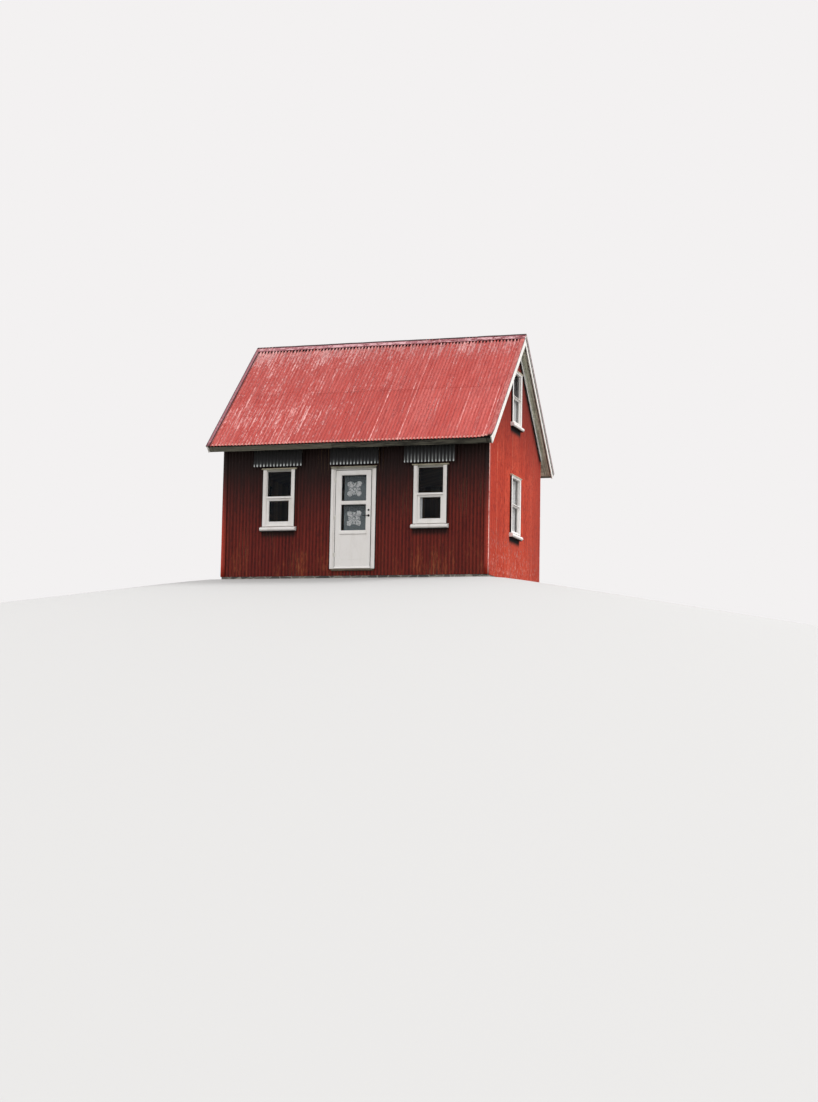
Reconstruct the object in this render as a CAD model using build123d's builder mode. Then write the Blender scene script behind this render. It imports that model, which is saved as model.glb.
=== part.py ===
from build123d import *
import os
from math import cos, radians, sin, tan

os.makedirs("parts", exist_ok=True)

# Body of the cabin, over the cladding. The origin is on the ground, under the middle.
house_length = 5900.0
house_depth = 4300.0
cladding_depth = 18.0
wall_thickness = 120.0
cladding_bottom_z = 60.0

# Base and floors
base_height = 120.0
base_width = 220.0
floor_thickness = 80.0
attic_floor_z = 2620.0
attic_floor_thickness = 140.0

# Roof: two equal slopes of corrugated sheet on a boarded deck
roof_pitch = 45.0
eave_edge_z = 2800.0
eave_overhang = 530.0
verge_overhang = 190.0
sheet_depth = 18.0
sheet_lip = 32.0
sheet_side_lip = 12.0
deck_thickness = 125.0
soffit_thickness = 15.0
fascia_thickness = 22.0
fascia_depth = 172.0
barge_thickness = 22.0
barge_depth = 160.0
mitre_gap = 1.0
ridge_cap_leg = 190.0
ridge_cap_thickness = 3.0
verge_cap_width = 95.0
verge_cap_thickness = 3.0
verge_cap_turn_down = 26.0
rake_trim_depth = 75.0
rake_trim_thickness = 20.0
corner_trim_width = 95.0
corner_trim_thickness = 3.0

# Windows: casing on the cladding, a fixed upper light and a sash below it
front_window_width = 725.0
left_window_from_corner = 1293.0
right_window_from_corner = 1253.0
back_window_from_corner = 2050.0
gable_window_width = 780.0
gable_window_to_front = 70.0
window_head_z = 2365.0
front_sill_z = 1008.0
gable_sill_z = 1000.0
attic_sill_z = 3380.0
attic_head_z = 4655.0
casing_thickness = 30.0
casing_face = 64.0
frame_face = 21.5
head_casing_face = 27.0
sill_height = 107.0
sill_projection = 80.0
sill_ear = 38.0
head_board_height = 43.0
head_board_projection = 48.0
head_board_ear = 30.0
transom_height = 40.0
gable_transom_height = 26.0
upper_light_share = 0.479
sash_stile = 47.0
sash_top_rail = 38.0
sash_bottom_rail = 98.0
gable_sash_top_rail = 26.0
gable_sash_bottom_rail = 50.0
sash_thickness = 44.0
sash_setback = 24.0
glass_thickness = 6.0
glass_setback = 50.0
sash_glass_setback = 20.0

# Hoods over the openings: plumb corrugated plates, held off the wall by a board
hood_projection = 120.0
hood_edge_z = 2382.0
hood_height = 358.0
hood_thickness = 18.0
hood_board_height = 60.0
hood_board_inset = 30.0
window_hood_width = 1085.0
door_hood_width = 1060.0
door_hood_offset_x = 40.0

# Doorway, door frame and leaf
door_x = 16.0
threshold_z = 200.0
jamb_reveal = 32.5
head_reveal = 15.0
door_casing_face = 64.0
door_casing_thickness = 22.0
door_head_face = 45.0
jamb_thickness = 50.0
leaf_width = 800.0
leaf_height = 2070.0
leaf_thickness = 45.0
leaf_gap = 5.0
stop_overlap = 12.0
threshold_thickness = 40.0
threshold_nose = 30.0
pane_width = 562.0
pane_height = 560.0
pane_bar = 60.0
pane_bottom = 797.0
pane_offset_x = 4.0
door_glass_setback = 18.0
rail_mould_height = 77.0
mould_projection = 14.0
mould_ear = 16.0
drip_height = 42.0
drip_projection = 24.0

# Lace behind the door panes, and curtains in the reveals of five windows
lace_thickness = 4.0
lace_width = 506.0
lace_offset_x = 34.0
lace_hem = 40.0
curtain_thickness = 12.0
curtain_setback = 60.0
front_curtain_width = 125.0

# Door furniture
lever_from_edge = 58.0
lever_z = 1110.0
spindle_radius = 4.0
bore_clearance = 0.6
neck_radius = 9.0
neck_length = 34.0
lever_length = 130.0
lever_radius = 8.5
rose_radius = 25.0
rose_thickness = 6.0
rose_gap = 1.0
inner_knob_radius = 24.0
lock_spacing = 115.0
lock_radius = 16.0
lock_projection = 14.0
hinge_from_bottom = 245.0
hinge_from_top = 165.0
hinge_leaf_width = 26.0
hinge_leaf_height = 90.0
hinge_leaf_thickness = 2.0
plate_clearance = 1.0
barrel_gap = 0.5
barrel_radius = 4.0

# Worked out from the sizes above
half_length = house_length / 2
half_depth = house_depth / 2
left_window_x = -half_length + left_window_from_corner
right_window_x = half_length - right_window_from_corner
back_window_x = half_length - back_window_from_corner
wall_half_length = half_length - cladding_depth
wall_half_depth = half_depth - cladding_depth
room_half_length = wall_half_length - wall_thickness
room_half_depth = wall_half_depth - wall_thickness
slope = tan(radians(roof_pitch))
lean = cos(radians(roof_pitch))
rise = sin(radians(roof_pitch))
eave_half_depth = half_depth + eave_overhang
ridge_z = eave_edge_z + eave_half_depth * slope
roof_half_length = half_length + verge_overhang
barge_face_x = roof_half_length - sheet_side_lip
barge_back_x = barge_face_x - barge_thickness
deck_top = sheet_depth
deck_bottom = deck_top + deck_thickness
soffit_bottom = deck_bottom + soffit_thickness
fascia_face = sheet_lip
deck_end = fascia_face + fascia_thickness
leaf_bottom_z = threshold_z + leaf_gap
leaf_top_z = leaf_bottom_z + leaf_height
head_underside_z = leaf_top_z + leaf_gap
frame_top_z = head_underside_z + head_reveal + door_head_face
jamb_inner_half = leaf_width / 2 + leaf_gap
casing_inner_half = jamb_inner_half + jamb_reveal
casing_outer_half = casing_inner_half + door_casing_face
rough_half = jamb_inner_half + jamb_thickness
rough_top_z = head_underside_z + jamb_thickness
leaf_face_y = -half_depth
lever_x = door_x + leaf_width / 2 - lever_from_edge
hinge_x = door_x - leaf_width / 2 - leaf_gap / 2
hinge_y = leaf_face_y - barrel_radius
hinge_low_z = leaf_bottom_z + hinge_from_bottom
hinge_high_z = leaf_top_z - hinge_from_top - hinge_leaf_height
hinge_feet = (hinge_low_z, (hinge_low_z + hinge_high_z) / 2, hinge_high_z)

# Each wall's plane lies on the cladding's outer face, with x to the right as seen
# from outside, y up, and z out of the wall.
wall_planes = {
    "front": Plane(origin=(0, -half_depth, 0), x_dir=(1, 0, 0), z_dir=(0, -1, 0)),
    "back": Plane(origin=(0, half_depth, 0), x_dir=(-1, 0, 0), z_dir=(0, 1, 0)),
    "left_gable": Plane(origin=(-half_length, 0, 0), x_dir=(0, -1, 0), z_dir=(-1, 0, 0)),
    "right_gable": Plane(origin=(half_length, 0, 0), x_dir=(0, 1, 0), z_dir=(1, 0, 0)),
}

# Windows of each wall: middle, sill's underside, head board's top, casing's width, and
# the heights of its bars. Those of the gables stand a little towards the front, and
# their bars are slimmer.
front_bars = (transom_height, sash_top_rail, sash_bottom_rail)
gable_bars = (gable_transom_height, gable_sash_top_rail, gable_sash_bottom_rail)


def gable_windows(middle):
    """Both windows of one gable, one above the other."""
    return [
        (middle, gable_sill_z, window_head_z, gable_window_width, gable_bars),
        (middle, attic_sill_z, attic_head_z, gable_window_width, gable_bars),
    ]


def long_wall_windows(*middles):
    """Windows of a long wall, side by side."""
    return [
        (middle, front_sill_z, window_head_z, front_window_width, front_bars)
        for middle in middles
    ]


windows = {
    "front": long_wall_windows(left_window_x, right_window_x),
    "back": long_wall_windows(-back_window_x, back_window_x),
    "left_gable": gable_windows(gable_window_to_front),
    "right_gable": gable_windows(-gable_window_to_front),
}


def keep(piece, name):
    """Label a finished piece and write it."""
    piece.part.label = name
    export_step(piece.part, f"parts/{name}.step")


def under_roof(y, below):
    """Height at distance y from the ridge of a plane that lies below the roof's top."""
    return ridge_z - abs(y) * slope - below / lean


def roof_point(along, below):
    """Point of the section: along the slope from the ridge line, and below its top."""
    return (along * lean + below * rise * -1, ridge_z - along * rise - below * lean)


slope_length = eave_half_depth / lean


def slope_band(side, top, bottom, low_end, high_along=None):
    """Corners of a band of one roof slope, cut plumb at the ridge unless high_along
    is given. low_end is how far its lower end stays back from the sheet's edge."""
    low = slope_length - low_end
    if high_along is None:
        high_top = (0.0, under_roof(0.0, top))
        high_bottom = (0.0, under_roof(0.0, bottom))
    else:
        high_top = roof_point(high_along, top)
        high_bottom = roof_point(high_along, bottom)
    corners = [high_top, roof_point(low, top), roof_point(low, bottom), high_bottom]
    return [(side * y, z) for y, z in corners]


def window_sizes(window):
    """Heights and half widths that a window's frame, sash and glass share."""
    middle, sill_z, head_z, width, (transom, top_rail, bottom_rail) = window
    bottom = sill_z + sill_height
    top = head_z - head_board_height
    rough_half_width = width / 2 - casing_face
    light_half = rough_half_width - frame_face
    light_top = top - head_casing_face
    transom_bottom = bottom + (light_top - bottom) * (1 - upper_light_share) - transom / 2
    return {
        "middle": middle,
        "bottom": bottom,
        "top": top,
        "rough_half": rough_half_width,
        "light_half": light_half,
        "light_top": light_top,
        "light_bottom": transom_bottom + transom,
        "sash_top": transom_bottom,
        "pane_low": bottom + bottom_rail,
        "pane_high": transom_bottom - top_rail,
    }


def wall_rectangle(left, right, low, high):
    """Rectangle on a wall's plane between two sides and two heights."""
    with Locations(((left + right) / 2, (low + high) / 2)):
        Rectangle(right - left, high - low)


def cut_windows(wall):
    """Cut the openings of a wall's windows through the part being built."""
    with BuildSketch(wall_planes[wall]) as face:
        for window in windows[wall]:
            w = window_sizes(window)
            wall_rectangle(
                w["middle"] - w["rough_half"], w["middle"] + w["rough_half"],
                w["bottom"], w["top"],
            )
    extrude(face.sketch, amount=-(cladding_depth + wall_thickness), mode=Mode.SUBTRACT)


# Foundation ring under the walls, with a ledge that carries the floor
with BuildPart() as foundation:
    with BuildSketch():
        Rectangle(2 * wall_half_length, 2 * wall_half_depth)
        Rectangle(
            2 * (wall_half_length - base_width), 2 * (wall_half_depth - base_width),
            mode=Mode.SUBTRACT,
        )
    extrude(amount=base_height)
keep(foundation, "foundation")

with BuildPart() as floor:
    with BuildSketch(Plane.XY.offset(base_height)):
        Rectangle(2 * room_half_length, 2 * room_half_depth)
    extrude(amount=floor_thickness)
keep(floor, "floor")

with BuildPart() as attic_floor:
    with BuildSketch(Plane.XY.offset(attic_floor_z - attic_floor_thickness)):
        Rectangle(2 * room_half_length, 2 * room_half_depth)
    extrude(amount=attic_floor_thickness)
keep(attic_floor, "attic_floor")


# Long walls: upright slabs whose top is planed to the roof's slope
def long_wall_section(side):
    """Section of a long wall, from the foundation to the underside of the deck."""
    points = [
        (side * wall_half_depth, base_height),
        (side * room_half_depth, base_height),
        (side * room_half_depth, under_roof(room_half_depth, deck_bottom)),
        (side * wall_half_depth, under_roof(wall_half_depth, deck_bottom)),
    ]
    Polygon(*points)


front_pieces = {
    "front_wall_left": (-wall_half_length, door_x - rough_half),
    "front_wall_right": (door_x + rough_half, wall_half_length),
    "front_wall_over_door": (door_x - rough_half, door_x + rough_half),
}
for name, (start_x, end_x) in front_pieces.items():
    with BuildPart() as front_wall:
        with BuildSketch(Plane.YZ.offset(start_x)):
            long_wall_section(-1)
        extrude(amount=end_x - start_x)
        if name == "front_wall_over_door":
            with BuildSketch(wall_planes["front"]):
                wall_rectangle(start_x, end_x, 0, rough_top_z)
            extrude(amount=-(cladding_depth + wall_thickness), mode=Mode.SUBTRACT)
        else:
            cut_windows("front")
    keep(front_wall, name)

with BuildPart() as back_wall:
    with BuildSketch(Plane.YZ.offset(-wall_half_length)):
        long_wall_section(1)
    extrude(amount=2 * wall_half_length)
    cut_windows("back")
keep(back_wall, "back_wall")


# Gable walls stand between the long walls and run up to the deck
def gable_outline(half_width, low):
    """Outline of a gable, from its foot to the underside of the deck."""
    Polygon(
        (-half_width, low),
        (half_width, low),
        (half_width, under_roof(half_width, deck_bottom)),
        (0, under_roof(0, deck_bottom)),
        (-half_width, under_roof(half_width, deck_bottom)),
    )


for wall in ("left_gable", "right_gable"):
    with BuildPart() as gable_wall:
        with BuildSketch(wall_planes[wall].offset(-cladding_depth)):
            gable_outline(room_half_depth, base_height)
        extrude(amount=-wall_thickness)
        cut_windows(wall)
    keep(gable_wall, f"{wall}_wall")

    with BuildPart() as gable_cladding:
        with BuildSketch(wall_planes[wall]):
            gable_outline(half_depth, cladding_bottom_z)
        extrude(amount=-cladding_depth)
        cut_windows(wall)
    keep(gable_cladding, f"{wall}_cladding")

# Cladding of the long walls, between the gables' cladding
for wall in ("front", "back"):
    with BuildPart() as long_cladding:
        with BuildSketch(wall_planes[wall]):
            wall_rectangle(
                -wall_half_length, wall_half_length,
                cladding_bottom_z, under_roof(half_depth, deck_bottom),
            )
            if wall == "front":
                with Locations(
                    (door_x, (threshold_z - threshold_thickness + rough_top_z) / 2)
                ):
                    Rectangle(
                        2 * rough_half, rough_top_z - threshold_z + threshold_thickness,
                        mode=Mode.SUBTRACT,
                    )
        extrude(amount=-cladding_depth)
        cut_windows(wall)
    keep(long_cladding, f"{wall}_cladding")

# Flat sheet angles on the four corners
with BuildPart() as corner_trims:
    top_z = under_roof(
        half_depth + corner_trim_thickness, soffit_bottom + rake_trim_depth
    )
    with BuildSketch(Plane.XY.offset(cladding_bottom_z)):
        for x_side in (-1, 1):
            for y_side in (-1, 1):
                x = x_side * (half_length + corner_trim_thickness)
                y = y_side * (half_depth + corner_trim_thickness)
                inner_x = x - x_side * corner_trim_width
                inner_y = y - y_side * corner_trim_width
                face_x = x_side * half_length
                face_y = y_side * half_depth
                Polygon(
                    (x, y), (x, inner_y), (face_x, inner_y), (face_x, face_y),
                    (inner_x, face_y), (inner_x, y),
                )
    extrude(amount=top_z - cladding_bottom_z)
keep(corner_trims, "corner_trims")

# Roof, one slope at a time
for name, side in (("front", -1), ("back", 1)):
    with BuildPart() as roof_deck:
        with BuildSketch(Plane.YZ.offset(-barge_back_x)):
            Polygon(*slope_band(side, deck_top, deck_bottom, deck_end))
        extrude(amount=2 * barge_back_x)
    keep(roof_deck, f"{name}_roof_deck")

    with BuildPart() as roof_sheet:
        with BuildSketch(Plane.YZ.offset(-roof_half_length)):
            Polygon(*slope_band(side, 0, sheet_depth, 0))
        extrude(amount=2 * roof_half_length)
    keep(roof_sheet, f"{name}_roof_sheet")

    # The fascia closes the deck's lower edge and hangs a little below the soffit
    with BuildPart() as fascia:
        with BuildSketch(Plane.YZ.offset(-barge_back_x)):
            Polygon(
                *slope_band(
                    side, deck_top, deck_top + fascia_depth, fascia_face,
                    slope_length - deck_end,
                ),
            )
        extrude(amount=2 * barge_back_x)
    keep(fascia, f"{name}_fascia")

for name, side in (("left", -1), ("right", 1)):
    with BuildPart() as bargeboards:
        with BuildSketch(Plane.YZ.offset(side * barge_back_x)):
            for roof_side in (-1, 1):
                Polygon(*slope_band(roof_side, sheet_depth, sheet_depth + barge_depth, 0))
            Rectangle(mitre_gap, 4 * ridge_z, mode=Mode.SUBTRACT)
        extrude(amount=side * barge_thickness)
    keep(bargeboards, f"{name}_bargeboards")

# Soffit boards under the overhangs: a strip at each eave, and two at each verge
with BuildPart() as roof_soffits:
    for roof_side in (-1, 1):
        with BuildSketch(Plane.YZ.offset(-half_length)):
            Polygon(
                (roof_side * half_depth, under_roof(half_depth, deck_bottom)),
                (roof_side * half_depth, under_roof(half_depth, soffit_bottom)),
                *slope_band(roof_side, deck_bottom, soffit_bottom, deck_end)[2:0:-1],
            )
        extrude(amount=house_length)
        for side in (-1, 1):
            with BuildSketch(Plane.YZ.offset(side * (half_length + mitre_gap))):
                Polygon(*slope_band(roof_side, deck_bottom, soffit_bottom, deck_end))
                Rectangle(mitre_gap, 4 * ridge_z, mode=Mode.SUBTRACT)
            extrude(amount=side * (barge_back_x - half_length - mitre_gap))
keep(roof_soffits, "roof_soffits")

with BuildPart() as ridge_cap:
    with BuildSketch(Plane.YZ.offset(-roof_half_length)):
        cap_low = ridge_cap_leg
        Polygon(
            (0, under_roof(0, -ridge_cap_thickness)),
            roof_point(cap_low, -ridge_cap_thickness),
            roof_point(cap_low, 0),
            (0, under_roof(0, 0)),
            (-roof_point(cap_low, 0)[0], roof_point(cap_low, 0)[1]),
            (
                -roof_point(cap_low, -ridge_cap_thickness)[0],
                roof_point(cap_low, -ridge_cap_thickness)[1],
            ),
        )
    extrude(amount=2 * roof_half_length)
keep(ridge_cap, "ridge_cap")

# Folded verge flashings: a strip on the sheet and a turned-down edge outside it
with BuildPart() as verge_caps:
    for side in (-1, 1):
        for roof_side in (-1, 1):
            with BuildSketch(Plane.YZ.offset(side * (roof_half_length - verge_cap_width))):
                Polygon(
                    *slope_band(roof_side, -verge_cap_thickness, 0, 0, ridge_cap_leg)
                )
            extrude(amount=side * verge_cap_width)
            with BuildSketch(Plane.YZ.offset(side * roof_half_length)):
                Polygon(
                    *slope_band(
                        roof_side, -verge_cap_thickness, verge_cap_turn_down, 0,
                        ridge_cap_leg,
                    ),
                )
            extrude(amount=side * verge_cap_thickness)
keep(verge_caps, "verge_caps")

# White boards on the gable cladding, close under the verge soffits
with BuildPart() as rake_trims:
    for side in (-1, 1):
        for roof_side in (-1, 1):
            low_y = half_depth
            with BuildSketch(Plane.YZ.offset(side * half_length)):
                Polygon(
                    (0, under_roof(0, soffit_bottom)),
                    (roof_side * low_y, under_roof(low_y, soffit_bottom)),
                    (
                        roof_side * low_y,
                        under_roof(low_y, soffit_bottom + rake_trim_depth),
                    ),
                    (0, under_roof(0, soffit_bottom + rake_trim_depth)),
                )
                Rectangle(mitre_gap, 4 * ridge_z, mode=Mode.SUBTRACT)
            extrude(amount=side * rake_trim_thickness)
keep(rake_trims, "rake_trims")


# Windows. The frame is one joinery piece: casing, lining, transom, sill and head board.
def build_frame(plane, window):
    """Add one window frame to the part being built."""
    w = window_sizes(window)
    middle = w["middle"]
    half_width = window[3] / 2
    with BuildSketch(plane) as face:
        wall_rectangle(middle - half_width, middle + half_width, w["bottom"], w["top"])
    extrude(face.sketch, amount=casing_thickness)
    with BuildSketch(plane) as face:
        wall_rectangle(
            middle - w["rough_half"], middle + w["rough_half"], w["bottom"], w["top"]
        )
    extrude(face.sketch, amount=-(cladding_depth + wall_thickness))
    with BuildSketch(plane) as face:
        half_sill = half_width + sill_ear
        wall_rectangle(middle - half_sill, middle + half_sill, window[1], w["bottom"])
    extrude(face.sketch, amount=sill_projection)
    with BuildSketch(plane) as face:
        half_board = half_width + head_board_ear
        wall_rectangle(middle - half_board, middle + half_board, w["top"], window[2])
    extrude(face.sketch, amount=head_board_projection)
    with BuildSketch(plane.offset(casing_thickness)) as face:
        wall_rectangle(
            middle - w["light_half"], middle + w["light_half"],
            w["light_bottom"], w["light_top"],
        )
        wall_rectangle(
            middle - w["light_half"], middle + w["light_half"], w["bottom"], w["sash_top"]
        )
    extrude(
        face.sketch, amount=-(casing_thickness + cladding_depth + wall_thickness), mode=Mode.SUBTRACT
    )


def build_sash(plane, window):
    """Add one opening light to the part being built."""
    w = window_sizes(window)
    middle = w["middle"]
    with BuildSketch(plane.offset(casing_thickness - sash_setback)) as face:
        wall_rectangle(
            middle - w["light_half"], middle + w["light_half"], w["bottom"], w["sash_top"]
        )
        glass_half = w["light_half"] - sash_stile
        with Locations((middle, (w["pane_low"] + w["pane_high"]) / 2)):
            Rectangle(2 * glass_half, w["pane_high"] - w["pane_low"], mode=Mode.SUBTRACT)
    extrude(face.sketch, amount=-sash_thickness)


def build_glass(plane, window):
    """Add one window's two panes to the part being built."""
    w = window_sizes(window)
    middle = w["middle"]
    with BuildSketch(plane.offset(casing_thickness - glass_setback)) as face:
        wall_rectangle(
            middle - w["light_half"], middle + w["light_half"],
            w["light_bottom"], w["light_top"],
        )
    extrude(face.sketch, amount=-glass_thickness)
    with BuildSketch(plane.offset(casing_thickness - sash_setback - sash_glass_setback)) as face:
        glass_half = w["light_half"] - sash_stile
        wall_rectangle(
            middle - glass_half, middle + glass_half, w["pane_low"], w["pane_high"]
        )
    extrude(face.sketch, amount=-glass_thickness)


# Each front window has its own nodes, so that the doorway between them stays free
window_nodes = [
    ("front_left", "front", windows["front"][:1]),
    ("front_right", "front", windows["front"][1:]),
    ("back", "back", windows["back"]),
    ("left_gable", "left_gable", windows["left_gable"]),
    ("right_gable", "right_gable", windows["right_gable"]),
]
for name, wall, group in window_nodes:
    with BuildPart() as window_frames:
        for window in group:
            build_frame(wall_planes[wall], window)
    keep(window_frames, f"{name}_window_frame")

    with BuildPart() as window_sashes:
        for window in group:
            build_sash(wall_planes[wall], window)
    keep(window_sashes, f"{name}_window_sash")

    with BuildPart() as window_glass:
        for window in group:
            build_glass(wall_planes[wall], window)
    keep(window_glass, f"{name}_window_glass")


# Hoods: a plumb plate of corrugated sheet in front of a board on the wall
def build_hood(side, middle, width):
    """Add one hood to the part being built, on the front or the back wall."""
    wall_y = side * half_depth
    plate_back_y = side * (half_depth + hood_projection - hood_thickness)
    plate_face_y = side * (half_depth + hood_projection)
    top = hood_edge_z + hood_height
    with BuildSketch(Plane.YZ.offset(middle - width / 2 + hood_board_inset)) as face:
        Polygon(
            (wall_y, top), (plate_back_y, top),
            (plate_back_y, top - hood_board_height), (wall_y, top - hood_board_height),
        )
    extrude(face.sketch, amount=width - 2 * hood_board_inset)
    with BuildSketch(Plane.YZ.offset(middle - width / 2)) as face:
        Polygon(
            (plate_back_y, top), (plate_face_y, top),
            (plate_face_y, hood_edge_z), (plate_back_y, hood_edge_z),
        )
    extrude(face.sketch, amount=width)


with BuildPart() as front_hoods:
    build_hood(-1, left_window_x, window_hood_width)
    build_hood(-1, door_x + door_hood_offset_x, door_hood_width)
    build_hood(-1, right_window_x, window_hood_width)
keep(front_hoods, "front_hoods")

with BuildPart() as back_hoods:
    build_hood(1, -back_window_x, window_hood_width)
    build_hood(1, back_window_x, window_hood_width)
keep(back_hoods, "back_hoods")

# Door frame: rebated jambs and head, with a flat casing on the cladding
front = wall_planes["front"]
with BuildPart() as door_frame:
    with BuildSketch(front):
        wall_rectangle(
            door_x - casing_outer_half, door_x + casing_outer_half,
            threshold_z, frame_top_z,
        )
    extrude(amount=door_casing_thickness)
    with BuildSketch(front):
        wall_rectangle(door_x - rough_half, door_x + rough_half, threshold_z, rough_top_z)
    extrude(amount=-(cladding_depth + wall_thickness))
    with BuildSketch(front.offset(door_casing_thickness)):
        with Locations((door_x, (frame_top_z - door_head_face) / 2)):
            Rectangle(
                2 * casing_inner_half, frame_top_z - door_head_face, mode=Mode.ADD
            )
    extrude(amount=-door_casing_thickness, mode=Mode.SUBTRACT)
    with BuildSketch(front.offset(door_casing_thickness)):
        with Locations((door_x, head_underside_z / 2)):
            Rectangle(2 * jamb_inner_half, head_underside_z)
    extrude(
        amount=-(door_casing_thickness + leaf_thickness + leaf_gap), mode=Mode.SUBTRACT
    )
    with BuildSketch(front.offset(door_casing_thickness)):
        with Locations((door_x, (head_underside_z - stop_overlap) / 2)):
            Rectangle(2 * (jamb_inner_half - stop_overlap), head_underside_z - stop_overlap)
    extrude(
        amount=-(door_casing_thickness + cladding_depth + wall_thickness),
        mode=Mode.SUBTRACT,
    )
keep(door_frame, "door_frame")

# Threshold: a hardwood sill on the foundation, with a nose over the cladding
with BuildPart() as door_threshold:
    with BuildSketch(Plane.YZ.offset(door_x - rough_half)):
        nose_y = -half_depth - threshold_nose
        under_z = threshold_z - threshold_thickness
        Polygon(
            (-room_half_depth, base_height),
            (-room_half_depth, threshold_z),
            (nose_y, threshold_z),
            (nose_y, under_z),
            (-wall_half_depth, under_z),
            (-wall_half_depth, base_height),
        )
    extrude(amount=2 * rough_half)
keep(door_threshold, "door_threshold")

# Door leaf with two panes over a boarded panel
pane_x = door_x + pane_offset_x
lower_pane_z = threshold_z + pane_bottom
upper_pane_z = lower_pane_z + pane_height + pane_bar
leaf_left = door_x - leaf_width / 2
leaf_right = door_x + leaf_width / 2
with BuildPart() as door_leaf:
    with BuildSketch(front):
        wall_rectangle(leaf_left, leaf_right, leaf_bottom_z, leaf_top_z)
        for low in (lower_pane_z, upper_pane_z):
            with Locations((pane_x, low + pane_height / 2)):
                Rectangle(pane_width, pane_height, mode=Mode.SUBTRACT)
    extrude(amount=-leaf_thickness)
    # Moulding under the lower pane, and the weather drip at the foot
    with BuildSketch(front):
        half_mould = pane_width / 2 + mould_ear
        wall_rectangle(
            pane_x - half_mould, pane_x + half_mould,
            lower_pane_z - rail_mould_height, lower_pane_z,
        )
    extrude(amount=mould_projection)
    with BuildSketch(front):
        wall_rectangle(
            leaf_left + leaf_gap, leaf_right - leaf_gap,
            leaf_bottom_z, leaf_bottom_z + drip_height,
        )
    extrude(amount=drip_projection)
    with BuildSketch(front):
        with Locations((lever_x, threshold_z + lever_z)):
            Circle(spindle_radius + bore_clearance)
    extrude(amount=-leaf_thickness, mode=Mode.SUBTRACT)
keep(door_leaf, "door_leaf")

with BuildPart() as door_glass:
    with BuildSketch(front.offset(-door_glass_setback)):
        for low in (lower_pane_z, upper_pane_z):
            wall_rectangle(
                pane_x - pane_width / 2, pane_x + pane_width / 2, low, low + pane_height
            )
    extrude(amount=-glass_thickness)
keep(door_glass, "door_glass")

# Lace panel tacked to the inside of the leaf
with BuildPart() as door_lace:
    with BuildSketch(front.offset(-leaf_thickness)):
        lace_x = pane_x + lace_offset_x
        wall_rectangle(
            lace_x - lace_width / 2, lace_x + lace_width / 2,
            lower_pane_z - lace_hem, upper_pane_z + pane_height + lace_hem,
        )
    extrude(amount=-lace_thickness)
keep(door_lace, "door_lace")

# Lever with its spindle, and a round knob inside
with BuildPart() as door_lever:
    lever_centre_z = threshold_z + lever_z
    neck_start = rose_thickness + rose_gap
    with BuildSketch(front.offset(-(leaf_thickness + neck_start))):
        with Locations((lever_x, lever_centre_z)):
            Circle(spindle_radius)
    extrude(amount=leaf_thickness + 2 * neck_start)
    with BuildSketch(front.offset(neck_start)):
        with Locations((lever_x, lever_centre_z)):
            Circle(neck_radius)
    extrude(amount=neck_length)
    grip_y = -half_depth - neck_start - neck_length + lever_radius
    with BuildSketch(Plane.YZ.offset(lever_x - lever_length)):
        with Locations((grip_y, lever_centre_z)):
            Circle(lever_radius)
    extrude(amount=lever_length)
    with BuildSketch(front.offset(-(leaf_thickness + neck_start))):
        with Locations((lever_x, lever_centre_z)):
            Circle(inner_knob_radius)
    extrude(amount=-neck_length)
keep(door_lever, "door_lever")

# Roses round the spindle on both faces, and the round lock above
with BuildPart() as door_lock:
    for face_offset, out in ((0, 1), (-leaf_thickness, -1)):
        with BuildSketch(front.offset(face_offset)):
            with Locations((lever_x, lever_centre_z)):
                Circle(rose_radius)
                Circle(spindle_radius + bore_clearance, mode=Mode.SUBTRACT)
        extrude(amount=out * rose_thickness)
    with BuildSketch(front):
        with Locations((lever_x, lever_centre_z + lock_spacing)):
            Circle(lock_radius)
    extrude(amount=lock_projection)
keep(door_lock, "door_lock")


# Butt hinges: the frame carries the lower knuckle of each, the leaf the upper one
def build_hinges(side, low_share, high_share):
    """Add one half of each hinge: side is -1 on the frame and 1 on the leaf."""
    for low in hinge_feet:
        knuckle_low = low + low_share * hinge_leaf_height + barrel_gap
        knuckle_high = low + high_share * hinge_leaf_height - barrel_gap
        plate_edge = hinge_x + side * (barrel_radius + plate_clearance)
        plate_end = hinge_x + side * hinge_leaf_width
        with BuildSketch(front) as face:
            wall_rectangle(
                min(plate_edge, plate_end), max(plate_edge, plate_end),
                low, low + hinge_leaf_height,
            )
            wall_rectangle(
                min(hinge_x, plate_edge), max(hinge_x, plate_edge),
                knuckle_low, knuckle_high,
            )
        extrude(face.sketch, amount=hinge_leaf_thickness)
        with BuildSketch(Plane.XY.offset(knuckle_low)) as face:
            with Locations((hinge_x, hinge_y)):
                Circle(barrel_radius)
        extrude(face.sketch, amount=knuckle_high - knuckle_low)


with BuildPart() as frame_hinges:
    build_hinges(-1, 0.0, 0.5)
keep(frame_hinges, "frame_hinges")

with BuildPart() as leaf_hinges:
    build_hinges(1, 0.5, 1.0)
keep(leaf_hinges, "leaf_hinges")

# Curtains in the reveals: full ones in the gable windows, a drawn-back one on the front
with BuildPart() as window_curtains:
    for wall in ("left_gable", "right_gable"):
        for window in windows[wall]:
            w = window_sizes(window)
            with BuildSketch(wall_planes[wall].offset(-curtain_setback)):
                for low, high in ((w["bottom"], w["sash_top"]), (w["light_bottom"], w["light_top"])):
                    wall_rectangle(
                        w["middle"] - w["light_half"], w["middle"] + w["light_half"], low, high
                    )
            extrude(amount=-curtain_thickness)
    with BuildSketch(front.offset(-curtain_setback)):
        w = window_sizes(windows["front"][1])
        left = w["middle"] - w["light_half"]
        wall_rectangle(left, left + front_curtain_width, w["bottom"], w["sash_top"])
    extrude(amount=-curtain_thickness)
keep(window_curtains, "window_curtains")
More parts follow.
